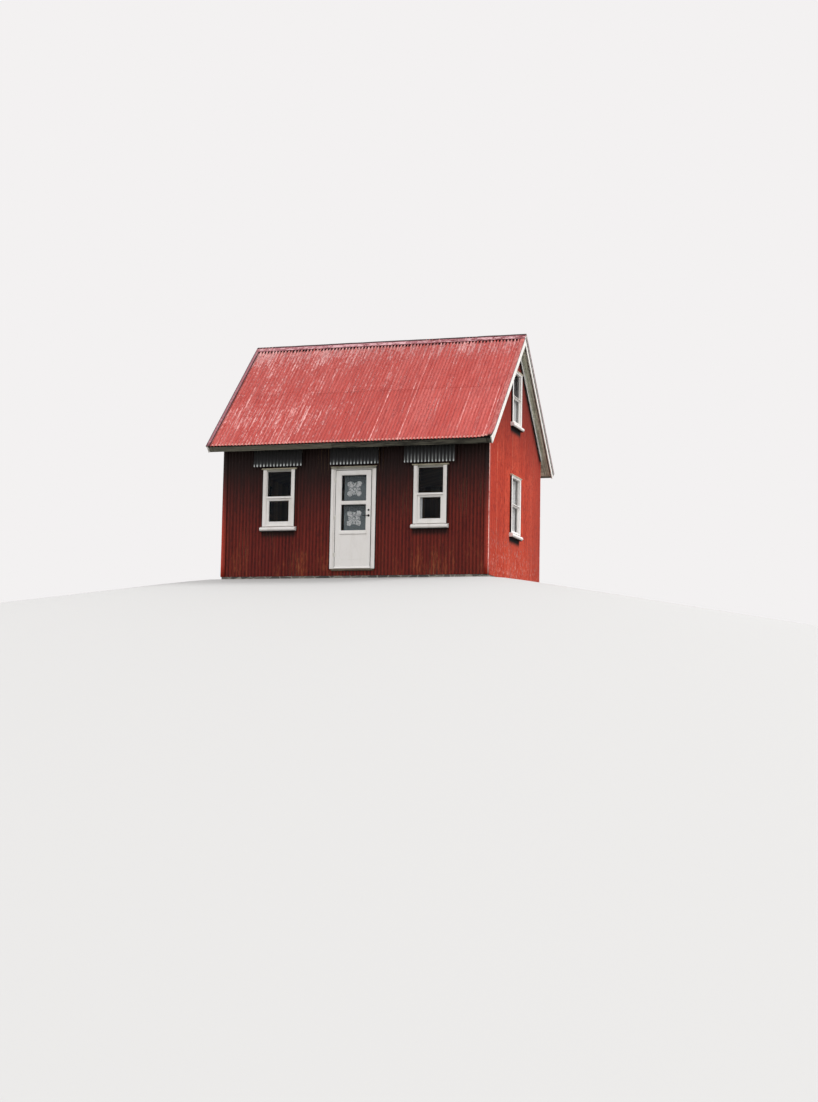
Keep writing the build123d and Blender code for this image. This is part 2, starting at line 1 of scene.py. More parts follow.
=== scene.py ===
# %% [markdown]
# # A small cabin clad in red corrugated iron
#
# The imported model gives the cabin's construction: walls, roof decks, window and door
# openings, and the door that swings. This lesson gives it its surfaces. Wherever a
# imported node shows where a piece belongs, its box is read, and only what no node shows
# is written here as a number.

from functools import partial
from math import atan2, cos, hypot, pi, radians, sin, tan

import bmesh
import bpy
import numpy as np
from mathutils import Matrix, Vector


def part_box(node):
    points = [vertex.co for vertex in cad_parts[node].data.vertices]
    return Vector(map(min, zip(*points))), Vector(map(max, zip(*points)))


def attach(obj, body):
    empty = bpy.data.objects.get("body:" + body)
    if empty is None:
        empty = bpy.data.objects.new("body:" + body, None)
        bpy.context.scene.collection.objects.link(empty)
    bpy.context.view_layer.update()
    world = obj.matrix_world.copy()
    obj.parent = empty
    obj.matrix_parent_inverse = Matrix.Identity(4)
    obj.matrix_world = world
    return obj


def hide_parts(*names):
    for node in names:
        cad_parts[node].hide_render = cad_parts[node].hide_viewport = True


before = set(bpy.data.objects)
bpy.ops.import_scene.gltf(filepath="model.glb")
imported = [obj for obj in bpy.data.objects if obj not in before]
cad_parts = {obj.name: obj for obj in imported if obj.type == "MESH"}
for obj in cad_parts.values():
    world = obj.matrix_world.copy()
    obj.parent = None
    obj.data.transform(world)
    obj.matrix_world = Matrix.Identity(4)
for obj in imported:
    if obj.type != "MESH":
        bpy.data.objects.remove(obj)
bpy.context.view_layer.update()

# %% [markdown]
# ## The camera
#
# The cabin stands on a rise and is seen from far below it, so the camera looks up by
# six degrees. Its place was worked out from the real sizes of the cabin's edges. A
# track-to constraint could aim it, but a matrix built from three angles also keeps
# the slight roll of a camera that is held in the hand.

# %% Camera from its place and three angles
CAMERA_PLACE = (13.205, -38.801, -3.4785)
CAMERA_YAW, CAMERA_PITCH, CAMERA_ROLL = 0.315109, 0.104196, 0.018517
CAMERA_LENS = 61.44


def aim_camera(place, yaw, pitch, roll, lens):
    """A camera whose view axis is turned by yaw about Z and raised by pitch, and whose
    right and up axes are then turned by roll about that view axis."""
    ahead = np.array((-sin(yaw) * cos(pitch), cos(yaw) * cos(pitch), sin(pitch)))
    right = np.array((cos(yaw), sin(yaw), 0.0))
    up = np.cross(right, ahead)
    rolled_right = right * cos(roll) + up * sin(roll)
    rolled_up = up * cos(roll) - right * sin(roll)
    data = bpy.data.cameras.new("camera")
    data.lens = lens
    camera = bpy.data.objects.new("camera", data)
    turn = np.stack([rolled_right, rolled_up, -ahead], axis=1)
    camera.matrix_world = Matrix.Translation(place) @ Matrix(turn.tolist()).to_4x4()
    bpy.context.scene.collection.objects.link(camera)
    return camera


bpy.context.scene.camera = aim_camera(
    CAMERA_PLACE, CAMERA_YAW, CAMERA_PITCH, CAMERA_ROLL, CAMERA_LENS
)

# %% [markdown]
# ## Main sizes
#
# The walls' outer faces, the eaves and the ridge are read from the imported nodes. Only
# sizes that no node shows, such as the pitch of the corrugations, are written here.

# %% Sizes of the body and the roof
PITCH = 0.076
IRON_DEPTH = 0.018
IRON_THICKNESS = 0.0012
LAP_LIFT = 0.0018

wall_low, wall_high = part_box("right_gable_cladding")
HALF_LENGTH, HALF_DEPTH, IRON_BOTTOM = wall_high.x, wall_high.y, wall_low.z
roof_low, roof_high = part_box("front_roof_sheet")
ROOF_HALF_LENGTH, EAVE_Y, RIDGE_Z = roof_high.x, -roof_low.y, roof_high.z
ROOF_PITCH = radians(45)
LEAN, RISE = cos(ROOF_PITCH), sin(ROOF_PITCH)
SLOPE_LENGTH = EAVE_Y / LEAN
DECK_BELOW, SOFFIT_BELOW, RAKE_DEPTH = 0.143, 0.158, 0.075
WALL_INSIDE = 0.138
print("eave edge", round(RIDGE_Z - SLOPE_LENGTH * RISE, 3), "slope length", round(SLOPE_LENGTH, 3))

# %% Windows' places, read from their frames
CASING, FRAME_FACE, HEAD_FACE = 0.064, 0.0215, 0.027
SILL_HEIGHT, SILL_OUT, SILL_EAR = 0.107, 0.080, 0.038
BOARD_HEIGHT, BOARD_OUT, BOARD_EAR = 0.043, 0.048, 0.030
GABLE_WIDTH = 0.780
ATTIC_SILL_Z = 3.380


def front_window(node):
    """(middle, sill's underside, head board's top, casing's width) from a frame's box."""
    low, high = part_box(node)
    return (low.x + high.x) / 2, low.z, high.z, high.x - low.x - 2 * SILL_EAR


left_window = front_window("front_left_window_frame")
right_window = front_window("front_right_window_frame")
BACK_WINDOW_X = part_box("back_window_frame")[1].x - SILL_EAR - right_window[3] / 2
gable_low, gable_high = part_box("right_gable_window_frame")
GABLE_MIDDLE = (gable_low.y + gable_high.y) / 2


def gable_windows(middle):
    """Both windows of one gable, one above the other."""
    return [(middle, gable_low.z, right_window[2], GABLE_WIDTH),
            (middle, ATTIC_SILL_Z, gable_high.z, GABLE_WIDTH)]


WINDOWS = {
    "front": [left_window, right_window],
    "back": [(x, *right_window[1:]) for x in (-BACK_WINDOW_X, BACK_WINDOW_X)],
    "left_gable": gable_windows(-GABLE_MIDDLE),
    "right_gable": gable_windows(GABLE_MIDDLE),
}
for wall, group in WINDOWS.items():
    print(wall, "windows", [tuple(round(size, 3) for size in window) for window in group])

# %% [markdown]
# ## Walls and slopes as flat frames
#
# Everything on a wall is laid out as if the wall were a drawing board: u runs along
# it, v up it, and w out of it. One function carries such points to their wall, and
# another does the same for a roof slope, where u runs along the ridge, v down the
# slope and w out of it.

# %% Local frames
WALLS = {
    "front": ((0, -HALF_DEPTH, 0), (1, 0, 0), (0, -1, 0)),
    "back": ((0, HALF_DEPTH, 0), (-1, 0, 0), (0, 1, 0)),
    "left_gable": ((-HALF_LENGTH, 0, 0), (0, -1, 0), (-1, 0, 0)),
    "right_gable": ((HALF_LENGTH, 0, 0), (0, 1, 0), (1, 0, 0)),
}


def on_wall(wall, points):
    """World points of wall points (u, v, w): origin + u along + v up + w outward."""
    origin, along, out = (np.array(part, float) for part in WALLS[wall])
    points = np.asarray(points, float)
    up = np.array((0.0, 0.0, 1.0))
    return origin + points[:, :1] * along + points[:, 1:2] * up + points[:, 2:3] * out


def on_slope(side, points):
    """World points of slope points (u, v, w): v down the slope from the ridge line,
    w out of it. side is -1 for the front slope and 1 for the back one."""
    u, v, w = np.asarray(points, float).T
    return np.stack([u, side * (v * LEAN + w * RISE), RIDGE_Z - v * RISE + w * LEAN], axis=1)


def straight(points):
    """World points of points that are already in the cabin's own frame."""
    return np.asarray(points, float)


def slope_point(along, below):
    """(y, z) of a point on the back slope, along it from the ridge and below its top."""
    return along * LEAN - below * RISE, RIDGE_Z - along * RISE - below * LEAN


def under_roof(y, below):
    """Height at distance y from the ridge of a plane that lies below the roof's top."""
    return RIDGE_Z - abs(y) * tan(ROOF_PITCH) - below / LEAN


def slope_band(side, top, bottom, low_end, high_along=None):
    """Four (y, z) corners of a band of one slope, cut plumb at the ridge unless
    high_along gives where it starts. low_end is how far it stays from the eave edge."""
    low = SLOPE_LENGTH - low_end
    if high_along is None:
        high = [(MITRE_GAP, under_roof(MITRE_GAP, d)) for d in (top, bottom)]
    else:
        high = [slope_point(high_along, d) for d in (top, bottom)]
    corners = [high[0], slope_point(low, top), slope_point(low, bottom), high[1]]
    return [(side * y, z) for y, z in corners]


MITRE_GAP = 0.0005

# %% [markdown]
# ## Gathering points and faces
#
# A piece such as a window is many small solids. A Stack gathers their points and
# faces, and makes one mesh of them. It also keeps each point's place in its own flat
# frame as the attribute lay, and a number for each solid as the attribute tint, so
# that a material can let grain run along a board and make two sheets differ.

# %% Stack of solids and sheets
def grid_quads(rows, columns):
    """Quads of a grid of rows by columns points, counted along each row first."""
    index = np.arange(rows * columns).reshape(rows, columns)
    corners = [index[:-1, :-1], index[:-1, 1:], index[1:, 1:], index[1:, :-1]]
    return np.stack([corner.ravel() for corner in corners], axis=1)


class Stack:
    """Points and faces of one piece, with their flat places and their tints."""

    def __init__(self):
        self.points, self.lay, self.tints, self.faces, self.count = [], [], [], [], 0

    def add(self, place, points, faces, tint=0.5):
        """Add points given in a flat frame. tint is one number or one for each point."""
        points = np.asarray(points, float)
        self.points.append(place(points))
        self.lay.append(points)
        self.tints.append(np.broadcast_to(tint, (len(points),)))
        self.faces += [[i + self.count for i in face] for face in faces]
        self.count += len(points)

    def sheet(self, place, points, quads, tint=0.5):
        """Add an open sheet whose faces look along w, whichever way its frame turns."""
        world = place(points)
        a, b, d = (world[quads[:, corner]] for corner in (0, 1, 3))
        out = place(np.array([(0, 0, 1.0)])) - place(np.array([(0, 0, 0.0)]))
        if (np.cross(b - a, d - a).sum(0) * out).sum() < 0:
            quads = quads[:, ::-1]
        self.add(place, points, quads.tolist(), tint)

    def block(self, place, low, high, tint=0.5):
        """Add a rectangular block between two opposite corners."""
        corners = [(x, y, z) for z in (low[2], high[2]) for y in (low[1], high[1])
                   for x in (low[0], high[0])]
        faces = [(0, 2, 3, 1), (4, 5, 7, 6), (0, 1, 5, 4), (2, 6, 7, 3), (0, 4, 6, 2), (1, 3, 7, 5)]
        self.add(place, corners, faces, tint)

    def beside(self, place, middle, side, across, up, out, tint=0.5):
        """Add a block to one side of a middle line, from three (from, to) pairs of which
        across is measured outward from that line."""
        low, high = sorted(middle + side * distance for distance in across)
        self.block(place, (low, up[0], out[0]), (high, up[1], out[1]), tint)

    def prism(self, place, outline, start, end, tint=0.5):
        """Add a straight run: an outline of (v, w) points carried along u."""
        n = len(outline)
        points = [(u, v, w) for u in (start, end) for v, w in outline]
        sides = [(i, (i + 1) % n, n + (i + 1) % n, n + i) for i in range(n)]
        caps = [tuple(range(n))[::-1], tuple(range(n, 2 * n))]
        self.add(place, points, sides + caps, tint)

    def rings(self, place, rings):
        """Add a closed skin over rings of points, an array (rings, sides, 3), with a
        flat cap on the first and the last ring."""
        count, sides, _ = rings.shape
        wrapped = np.concatenate([rings, rings[:, :1]], axis=1)
        index = grid_quads(count, sides + 1)
        row, column = np.divmod(index, sides + 1)
        quads = (row * sides + column % sides).tolist()
        last = (count - 1) * sides
        caps = [list(range(sides))[::-1], list(range(last, last + sides))]
        self.add(place, wrapped[:, :-1].reshape(-1, 3), quads + caps)

    def turned(self, place, centre, profile, sides=24):
        """Add a turned solid: (radius, w) points of a profile spun about w."""
        radius, height = np.array(profile, float).T[:, :, None]
        turn = np.linspace(0, 2 * pi, sides, endpoint=False)[None]
        flat = [centre[0] + radius * np.cos(turn), centre[1] + radius * np.sin(turn)]
        spun = np.stack(flat + [centre[2] + height + 0 * turn], axis=2)
        self.rings(place, spun)


def make_piece(name, stack, material, stands_for=(), body="cabin", open_sheet=False,
               smooth=None, bevel=0.0):
    """One object at the origin, from a stack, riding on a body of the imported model."""
    mesh = bpy.data.meshes.new(name)
    mesh.from_pydata(np.concatenate(stack.points).tolist(), [], stack.faces)
    tint = mesh.attributes.new("tint", "FLOAT", "POINT")
    tint.data.foreach_set("value", np.concatenate(stack.tints).astype(np.float32))
    lay = mesh.attributes.new("lay", "FLOAT_VECTOR", "POINT")
    lay.data.foreach_set("vector", np.concatenate(stack.lay).astype(np.float32).ravel())
    shell = bmesh.new()
    shell.from_mesh(mesh)
    if open_sheet:
        bmesh.ops.remove_doubles(shell, verts=shell.verts, dist=1e-6)
    else:
        bmesh.ops.recalc_face_normals(shell, faces=shell.faces)
    shell.to_mesh(mesh)
    shell.free()
    if smooth:
        mesh.polygons.foreach_set("use_smooth", [True] * len(mesh.polygons))
        mesh.set_sharp_from_angle(angle=radians(smooth))
    piece = bpy.data.objects.new(name, mesh)
    bpy.context.scene.collection.objects.link(piece)
    mesh.materials.append(material)
    if open_sheet:
        solid = piece.modifiers.new("sheet thickness", "SOLIDIFY")
        solid.thickness = IRON_THICKNESS
        solid.offset = -1
    if bevel:
        edge = piece.modifiers.new("eased edges", "BEVEL")
        edge.width = bevel
        edge.segments = 2
        edge.limit_method = "ANGLE"
        edge.angle_limit = radians(38)
    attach(piece, body)
    if stands_for:
        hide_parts(*stands_for)
    print(name, "has", len(mesh.vertices), "points and", len(mesh.polygons), "faces")
    return piece


# %% [markdown]
# ## Materials as expressions
#
# A material is a tree of nodes, and placing them by hand hides the thought behind it.
# Here a Wire wraps the output of a node, and + - * and / on wires add Math nodes, so
# that a finish reads as a formula. A Recipe is one material while it is being made.

# %% Wires and recipes
class Wire:
    """One output of a node, with arithmetic that adds Math nodes to its recipe."""

    def __init__(self, recipe, socket):
        self.recipe, self.socket = recipe, socket

    def math(self, operation, *others):
        """A Math node of this wire and up to two more values."""
        values = dict(enumerate((self, *others)))
        return self.recipe.node("ShaderNodeMath", {"operation": operation}, values)

    def __add__(self, other):
        return self.math("ADD", other)

    def __sub__(self, other):
        return self.math("SUBTRACT", other)

    def __rsub__(self, other):
        return (self * -1) + other

    def __mul__(self, other):
        return self.math("MULTIPLY", other)

    def __truediv__(self, other):
        return self.math("DIVIDE", other)

    __radd__, __rmul__ = __add__, __mul__

    def rises(self, low, high):
        """0 below low, 1 above high, and a smooth step between them."""
        settings = {"interpolation_type": "SMOOTHSTEP"}
        values = {"Value": self, "From Min": low, "From Max": high}
        return self.recipe.node("ShaderNodeMapRange", settings, values)


class Recipe:
    """One material under way, or the world's sky where one is given."""

    def __init__(self, name, owner=None):
        self.owner = owner or bpy.data.materials.new(name)
        self.owner.use_nodes = True
        self.tree = self.owner.node_tree
        self.tree.nodes.clear()

    def node(self, kind, settings=None, values=None, out=0):
        """Add a node: its settings first, then numbers or wires for its sockets."""
        node = self.tree.nodes.new(kind)
        for key, value in (settings or {}).items():
            setattr(node, key, value)
        for key, value in (values or {}).items():
            socket = node.inputs[key]
            if isinstance(value, Wire):
                self.tree.links.new(value.socket, socket)
            else:
                socket.default_value = value
        return Wire(self, node.outputs[out]) if len(node.outputs) else None

    def place(self):
        """Place in the cabin's own frame, in metres."""
        return self.node("ShaderNodeTexCoord", out="Object")

    def lay(self):
        """Place in the flat frame of the piece: along, down or up, and out."""
        return self.node("ShaderNodeAttribute", {"attribute_name": "lay"}, out="Vector")

    def tint(self):
        """The number that each solid or point was given."""
        return self.node("ShaderNodeAttribute", {"attribute_name": "tint"}, out="Fac")

    def split(self, vector):
        """The three parts of a vector as wires."""
        node = self.node("ShaderNodeSeparateXYZ", values={0: vector})
        return [Wire(self, output) for output in node.socket.node.outputs]

    def noise(self, where, size, detail=3.0, roughness=0.6, shift=0.0):
        """Noise about 0.5, whose blotches are about size metres along each axis."""
        values = {"Vector": where, "Scale": [1 / s for s in size], "Location": [shift] * 3}
        place = self.node("ShaderNodeMapping", values=values)
        values = {"Vector": place, "Scale": 1.0, "Detail": detail, "Roughness": roughness}
        return self.node("ShaderNodeTexNoise", values=values)

    def cells(self, where, size, feature="F1", out=0):
        """Distance to, or colour of, the nearest of points about size metres apart."""
        values = {"Vector": where, "Scale": [1 / s for s in size]}
        place = self.node("ShaderNodeMapping", values=values)
        return self.node("ShaderNodeTexVoronoi", {"feature": feature},
                         {"Vector": place, "Scale": 1.0}, out=out)

    def mix(self, share, under, over):
        """Colour that goes from under to over as share goes from 0 to 1."""
        return self.node("ShaderNodeMix", {"data_type": "RGBA"},
                         {0: share, 6: under, 7: over}, out=2)

    def shade(self, colour, level):
        """Colour times a level given by a wire."""
        grey = self.node("ShaderNodeCombineXYZ", values={0: level, 1: level, 2: level})
        return self.node("ShaderNodeMix", {"data_type": "RGBA", "blend_type": "MULTIPLY"},
                         {0: 1.0, 6: colour, 7: grey}, out=2)

    def finish(self, colour, roughness, height=None, distance=0.001, alpha=None, **constants):
        """Join the parts to a Principled shader and return the finished material."""
        values = {"Base Color": colour, "Roughness": roughness}
        if height is not None:
            bump = self.node("ShaderNodeBump", values={"Height": height, "Distance": distance})
            values["Normal"] = bump
        if alpha is not None:
            values["Alpha"] = alpha
        values.update({key.replace("_", " "): value for key, value in constants.items()})
        surface = self.node("ShaderNodeBsdfPrincipled", values=values)
        self.node("ShaderNodeOutputMaterial", values={"Surface": surface})
        return self.owner


def tone(red, green, blue):
    """Linear colour, with an alpha of 1, of a colour given from 0 to 255 as seen."""
    seen = np.array((red, green, blue)) / 255
    linear = np.where(seen <= 0.04045, seen / 12.92, ((seen + 0.055) / 1.055) ** 2.4)
    return (*linear.tolist(), 1.0)


# %% [markdown]
# ## Painted iron
#
# The sheets were painted on the wall, and the weather has worked down them: chalky
# streaks run with the corrugations, each crest has faded a little apart from the next,
# and the paint has gone in patches. All of this is noise that is stretched along v, on
# the flat place that each point of the sheets carries. What only the roof, the front
# or the other walls have is added by a function of its own.

# %% Painted iron
def painted_iron(name, tones, chalk_share, valley_shade_share, grain, marks, zone=None):
    """Red paint on corrugated iron. tones are its body, faded, deep and chalky colours.
    chalk_share and valley_shade_share say how much of it is chalky and how far painted shade
    darkens its valleys, and grain how far light and dark part at the size of a hand. zone gives
    a wire that is 1 where the wear is strongest, and marks adds what one wall or slope has
    of its own."""
    body, faded, deep, chalk = tones
    r = Recipe(name)
    lay, tint = r.lay(), r.tint()
    along, down, out = r.split(lay)
    x, y, z = r.split(r.place())
    fine = r.noise(lay, (0.036, 0.8, 0.5), detail=4, roughness=0.65)
    thread = r.noise(lay, (0.022, 0.14, 0.3), detail=3, roughness=0.75, shift=1.9)
    mottle = r.noise(lay, (0.06, 0.09, 0.05), detail=4, roughness=0.85, shift=23.0)
    broad = r.noise(lay, (0.25, 1.8, 1.0), detail=3, shift=3.7)
    patch = r.noise(lay, (0.5, 1.3, 1.0), detail=5, shift=11.3)
    rib = r.noise(lay, (0.05, 1.2, 1.0), detail=2, shift=31.0)
    crest = (out * (1 / IRON_DEPTH) + 1.0).rises(0.2, 0.9)
    worn_zone = zone(x, down) if zone else 0.0
    fading = fine * 0.4 + rib * 0.3 + broad * 0.2 + mottle * 0.1 + tint * 0.08
    colour = r.mix(fading.rises(0.46, 0.62), body, faded)
    stripe = thread * 0.4 + rib * 0.3 + mottle * 0.3
    colour = r.mix(stripe.rises(0.49, 0.58) * 0.85, colour, deep)
    wear = fine * 0.4 + thread * 0.3 + mottle * 0.35 + patch * 0.2 + rib * 0.3 + crest * 0.02
    worn = (wear + worn_zone * 0.12 + (chalk_share - 0.885)).rises(0.0, 0.14)
    colour = r.mix(worn * 0.85, colour, chalk)
    lap = tint.rises(1.3, 1.9) * (thread * 0.6 + mottle * 0.4 + fine * 0.4).rises(0.62, 0.84)
    colour = r.mix(lap * 0.75, colour, chalk)
    speck = r.noise(lay, (0.03, 0.08, 0.03), detail=3, roughness=0.75, shift=17.0)
    colour = r.mix(speck.rises(0.56, 0.66) * (0.4 + patch * 0.6), colour, deep)
    colour = r.shade(colour, (mottle + thread * 0.85) * grain + (1.0 - grain * 0.925))
    # Painted shade: the valleys of the corrugations are darkened by valley_shade_share.
    colour = r.shade(colour, crest * valley_shade_share + (1.0 - valley_shade_share))
    wires = {"along": along, "down": down, "x": x, "y": y, "z": z, "crest": crest,
             "fine": fine, "thread": thread, "mottle": mottle, "broad": broad, "patch": patch,
             "rib": rib}
    colour = marks(r, colour, wires)
    roughness = 0.5 + patch * 0.2 + worn * 0.2
    return r.finish(colour, roughness, mottle * 0.7 + worn * 0.5, 0.0008, Specular_IOR_Level=0.18)


def roof_wear(x, down):
    """Most wear near the ridge and on the left, where the wind strikes."""
    return (1.0 - down.rises(0.2, 1.1)) * 0.8 + (1.0 - x.rises(-2.6, 1.4)) * 0.35


def roof_marks(r, colour, w):
    """A slope that is a little brighter low down and on the right, painted shadow of uneven
    size in the valleys under the ridge flashing, grime below them, pale crest ends at the eave."""
    zone = roof_wear(w["x"], w["down"]) * 0.55
    blotch = w["mottle"] * 0.6 + w["thread"] * 0.4
    colour = r.mix(zone * blotch.rises(0.50, 0.60), colour, tone(222, 162, 160))
    colour = r.mix(zone * (1.0 - blotch.rises(0.40, 0.48)), colour, tone(132, 44, 46))
    colour = r.shade(colour, w["down"].rises(0.8, 3.0) * 0.05 + w["x"].rises(-0.5, 2.9) * 0.07 + 0.97)
    speckle = (w["fine"] * 0.4 + w["mottle"] * 0.6).rises(0.48, 0.58)
    grime = (1.0 - w["down"].rises(0.24, 1.0)) * speckle
    colour = r.mix(grime * 0.75, colour, tone(112, 42, 46))
    # Painted shadow: the valleys just under the ridge flashing turn black, unevenly.
    ragged = w["down"] + (w["mottle"] - 0.5) * 0.22 + (w["rib"] - 0.5) * 0.10
    uneven = (w["thread"] - 0.5) * 1.4 + (w["rib"] - 0.5) * 1.4 + (w["broad"] - 0.5) * 2.4
    valley = 1.0 - (w["crest"] + uneven).rises(0.30, 0.75)
    colour = r.mix((1.0 - ragged.rises(0.23, 0.27)) * valley, colour, tone(20, 8, 10))
    tip = w["down"].rises(SLOPE_LENGTH - 0.07, SLOPE_LENGTH - 0.045) * w["crest"]
    return r.mix(tip * (0.35 + w["mottle"] * 0.7), colour, tone(206, 150, 140))


def sill_shadow_share(w, windows):
    """1 in the painted shadow under each sill, fading over its reach."""
    darkening = None
    for middle, sill_z, _, width in windows:
        beside = (w["along"] - middle).math("ABSOLUTE") - (width / 2 + SILL_EAR)
        drop = w["down"] * -1 + sill_z
        share = 1.0 - beside.rises(-0.04, 0.01)
        share = share * (1.0 - drop.rises(0.05, 0.17)) * drop.rises(-0.02, 0.0)
        darkening = darkening.math("MAXIMUM", share) if darkening else share
    return darkening


def front_marks(r, colour, w):
    """Rust that comes through low down, painted shadow under the sills, and painted shade
    that darkens the front towards the eave."""
    rust = (w["thread"] * 0.4 + w["broad"] * 0.3 + w["patch"] * 0.2 + w["fine"] * 0.2
            - w["z"].rises(0.3, 1.3) * 0.07).rises(0.55, 0.67)
    colour = r.mix(rust * 0.7, colour, tone(160, 84, 50))
    # Painted shade: the front darkens towards the eave, less far down on the right.
    height = w["z"] + (w["broad"] - 0.5) * 0.5 + (w["rib"] - 0.5) * 0.3 - w["x"].rises(0.8, 2.6) * 0.3
    colour = r.mix(height.rises(0.75, 2.5), colour, tone(36, 20, 18))
    return r.mix(sill_shadow_share(w, WINDOWS["front"]) * 0.85, colour, tone(22, 12, 10))


RAKE_FOOT = SOFFIT_BELOW + RAKE_DEPTH


def gable_marks(windows, r, colour, w):
    """Pale scuffs low down, a wall a little darker towards the back, painted shade towards
    the top under the roof, painted shadow under the sills, and a black painted shadow under
    the rake boards that fades into the wall."""
    low = (1.0 - w["z"].rises(0.3, 1.3)) * (w["mottle"] * 0.4 + w["thread"] * 0.6).rises(0.51, 0.62)
    colour = r.mix(low * 0.65, colour, tone(224, 158, 142))
    colour = r.mix(w["y"].rises(0.4, 2.0) * 0.4, colour, tone(158, 62, 48))
    # Painted shade towards the top, under the roof's overhang.
    colour = r.mix(w["z"].rises(2.2, 4.2) * 0.85, colour, tone(112, 28, 18))
    # Painted shadow under the rake boards: black at first, fading into the wall.
    below = w["y"].math("ABSOLUTE") * -1.0 - w["z"] + (RIDGE_Z - RAKE_FOOT / LEAN)
    colour = r.mix((1.0 - below.rises(-0.05, 0.36)) * 0.8, colour, tone(60, 22, 18))
    colour = r.mix(1.0 - below.rises(0.06, 0.14), colour, tone(14, 10, 10))
    return r.mix(sill_shadow_share(w, windows), colour, tone(10, 6, 6))


ROOF_TONES = tone(176, 68, 61), tone(190, 92, 86), tone(138, 42, 40), tone(230, 178, 174)
FRONT_TONES = tone(112, 32, 24), tone(126, 42, 29), tone(78, 20, 18), tone(150, 80, 56)
GABLE_TONES = tone(186, 56, 33), tone(208, 78, 52), tone(146, 38, 25), tone(220, 128, 104)
ROOF_PAINT = painted_iron("roof iron paint", ROOF_TONES, 0.05, 0.0, 0.55, roof_marks, roof_wear)
WALL_PAINTS = {
    "front": painted_iron("front iron paint", FRONT_TONES, -0.13, 0.45, 0.4, front_marks),
}
for wall in ("back", "left_gable", "right_gable"):
    marks = partial(gable_marks, WINDOWS[wall])
    WALL_PAINTS[wall] = painted_iron(
        f"{wall} iron paint", GABLE_TONES, -0.09, 0.10, 0.33, marks)
print("painted iron for the roof and", len(WALL_PAINTS), "walls")

# %% [markdown]
# ## White paint, wood, bare metal and the rest
#
# The joinery is brushed white, with dirt in blotches and specks. The boards over the
# windows are dirtier and darkened as painted shade, the frames' heads are grey as painted
# shade, and the rake boards have a brighter white as painted light. The eave boards were
# left to weather, and the fascias' grey is also painted shade. Each finish again
# puts two or three sizes of noise together, because one size alone looks like a print.

# %% Paint and wood
def white_paint(name, body, dirt, dirt_share):
    """Brushed oil paint: body with faint brush strokes, dirt in blotches and specks."""
    r = Recipe(name)
    place = r.place()
    strokes = r.noise(place, (0.05, 0.05, 0.4), detail=3)
    cloud = r.noise(place, (0.2, 0.2, 0.5), detail=4, shift=2.2)
    grit = r.noise(place, (0.012, 0.012, 0.02), detail=3, shift=6.1)
    colour = r.mix(cloud.rises(0.4, 0.8) * dirt_share, body, dirt)
    colour = r.mix((grit * 0.7 + cloud * 0.4).rises(0.64, 0.74) * dirt_share, colour, dirt)
    return r.finish(colour, 0.42 + cloud * 0.25, strokes * 0.6 + grit * 0.4, 0.0005)


def weathered_wood(name, light, dark, paint=None):
    """Boards left to the weather: grain along the boards, which run down the slope
    beyond the gables, and paint that is left in patches where a paint is given."""
    r = Recipe(name)
    lay, tint = r.lay(), r.tint()
    verge = r.split(r.place())[0].math("ABSOLUTE").math("GREATER_THAN", HALF_LENGTH)
    along = r.noise(lay, (0.5, 0.022, 0.022), detail=4, roughness=0.7)
    sloping = r.noise(r.place(), (0.024, 0.6, 0.6), detail=4, roughness=0.7, shift=1.5)
    grain = along * (1.0 - verge) + sloping * verge
    cloud = r.noise(lay, (0.3, 0.06, 0.06), detail=4, shift=4.4)
    check = r.noise(lay, (0.25, 0.0025, 0.0025), detail=2, shift=8.8)
    colour = r.mix((grain * 0.75 + cloud * 0.25 + tint * 0.2 - 0.1).rises(0.38, 0.62), dark, light)
    if paint:
        colour = r.mix((cloud * 0.8 + grain * 0.3).rises(0.46, 0.62) * 0.7, colour, paint)
    colour = r.mix((1.0 - check.rises(0.28, 0.36)) * 0.7, colour, tone(30, 28, 24))
    return r.finish(colour, 0.75 + cloud * 0.15, grain * 0.7 + check.rises(0.28, 0.4) * 0.8, 0.0012)


PLANK_WIDTH = 0.12


def bare_boards():
    """Planed boards inside: bands of plank width, each its own tone, with grain."""
    r = Recipe("bare boards")
    place = r.place()
    grain = r.noise(place, (0.02, 0.02, 0.5), detail=4)
    x, y, _ = r.split(place)
    row = (x + y) / PLANK_WIDTH
    plank = (row.math("FLOOR") * 0.37).math("FRACT")
    joint = row.math("FRACT").rises(0.0, 0.03)
    colour = r.mix((grain * 0.6 + plank * 0.4).rises(0.2, 0.8), tone(120, 88, 58), tone(160, 124, 86))
    colour = r.mix(1.0 - joint, colour, tone(50, 36, 26))
    return r.finish(colour, 0.6 + grain * 0.2, grain * 0.3 + joint, 0.001)


WHITE_PAINT = white_paint("white joinery paint", tone(235, 231, 228), tone(190, 182, 170), 0.3)
WORN_WHITE = white_paint("worn white paint", tone(234, 231, 226), tone(182, 174, 158), 0.4)
# The rake boards get a brighter white than the rest of the joinery: painted light.
RAKE_WHITE = white_paint("rake board paint", tone(252, 251, 250), tone(224, 218, 211), 0.3)
# The head boards are dirtier, and darkened as painted shade.
DIRTY_SHADED_WHITE = white_paint("head board paint", tone(206, 196, 170), tone(150, 140, 112), 0.7)
# The frames' heads on the front and back, and the door's head board, are grey as painted shade.
SHADED_WHITE = white_paint("frame head paint", tone(150, 147, 136), tone(104, 100, 88), 0.8)
# The fascias' grey is weathered wood and also painted shade.
FASCIA_WOOD = weathered_wood("fascia boards", tone(136, 133, 119), tone(50, 49, 43),
                             tone(104, 102, 90))
SOFFIT_WOOD = weathered_wood("soffit boards", tone(236, 240, 220), tone(158, 161, 144))
SILL_WOOD = weathered_wood("door sill wood", tone(130, 118, 100), tone(72, 62, 50))
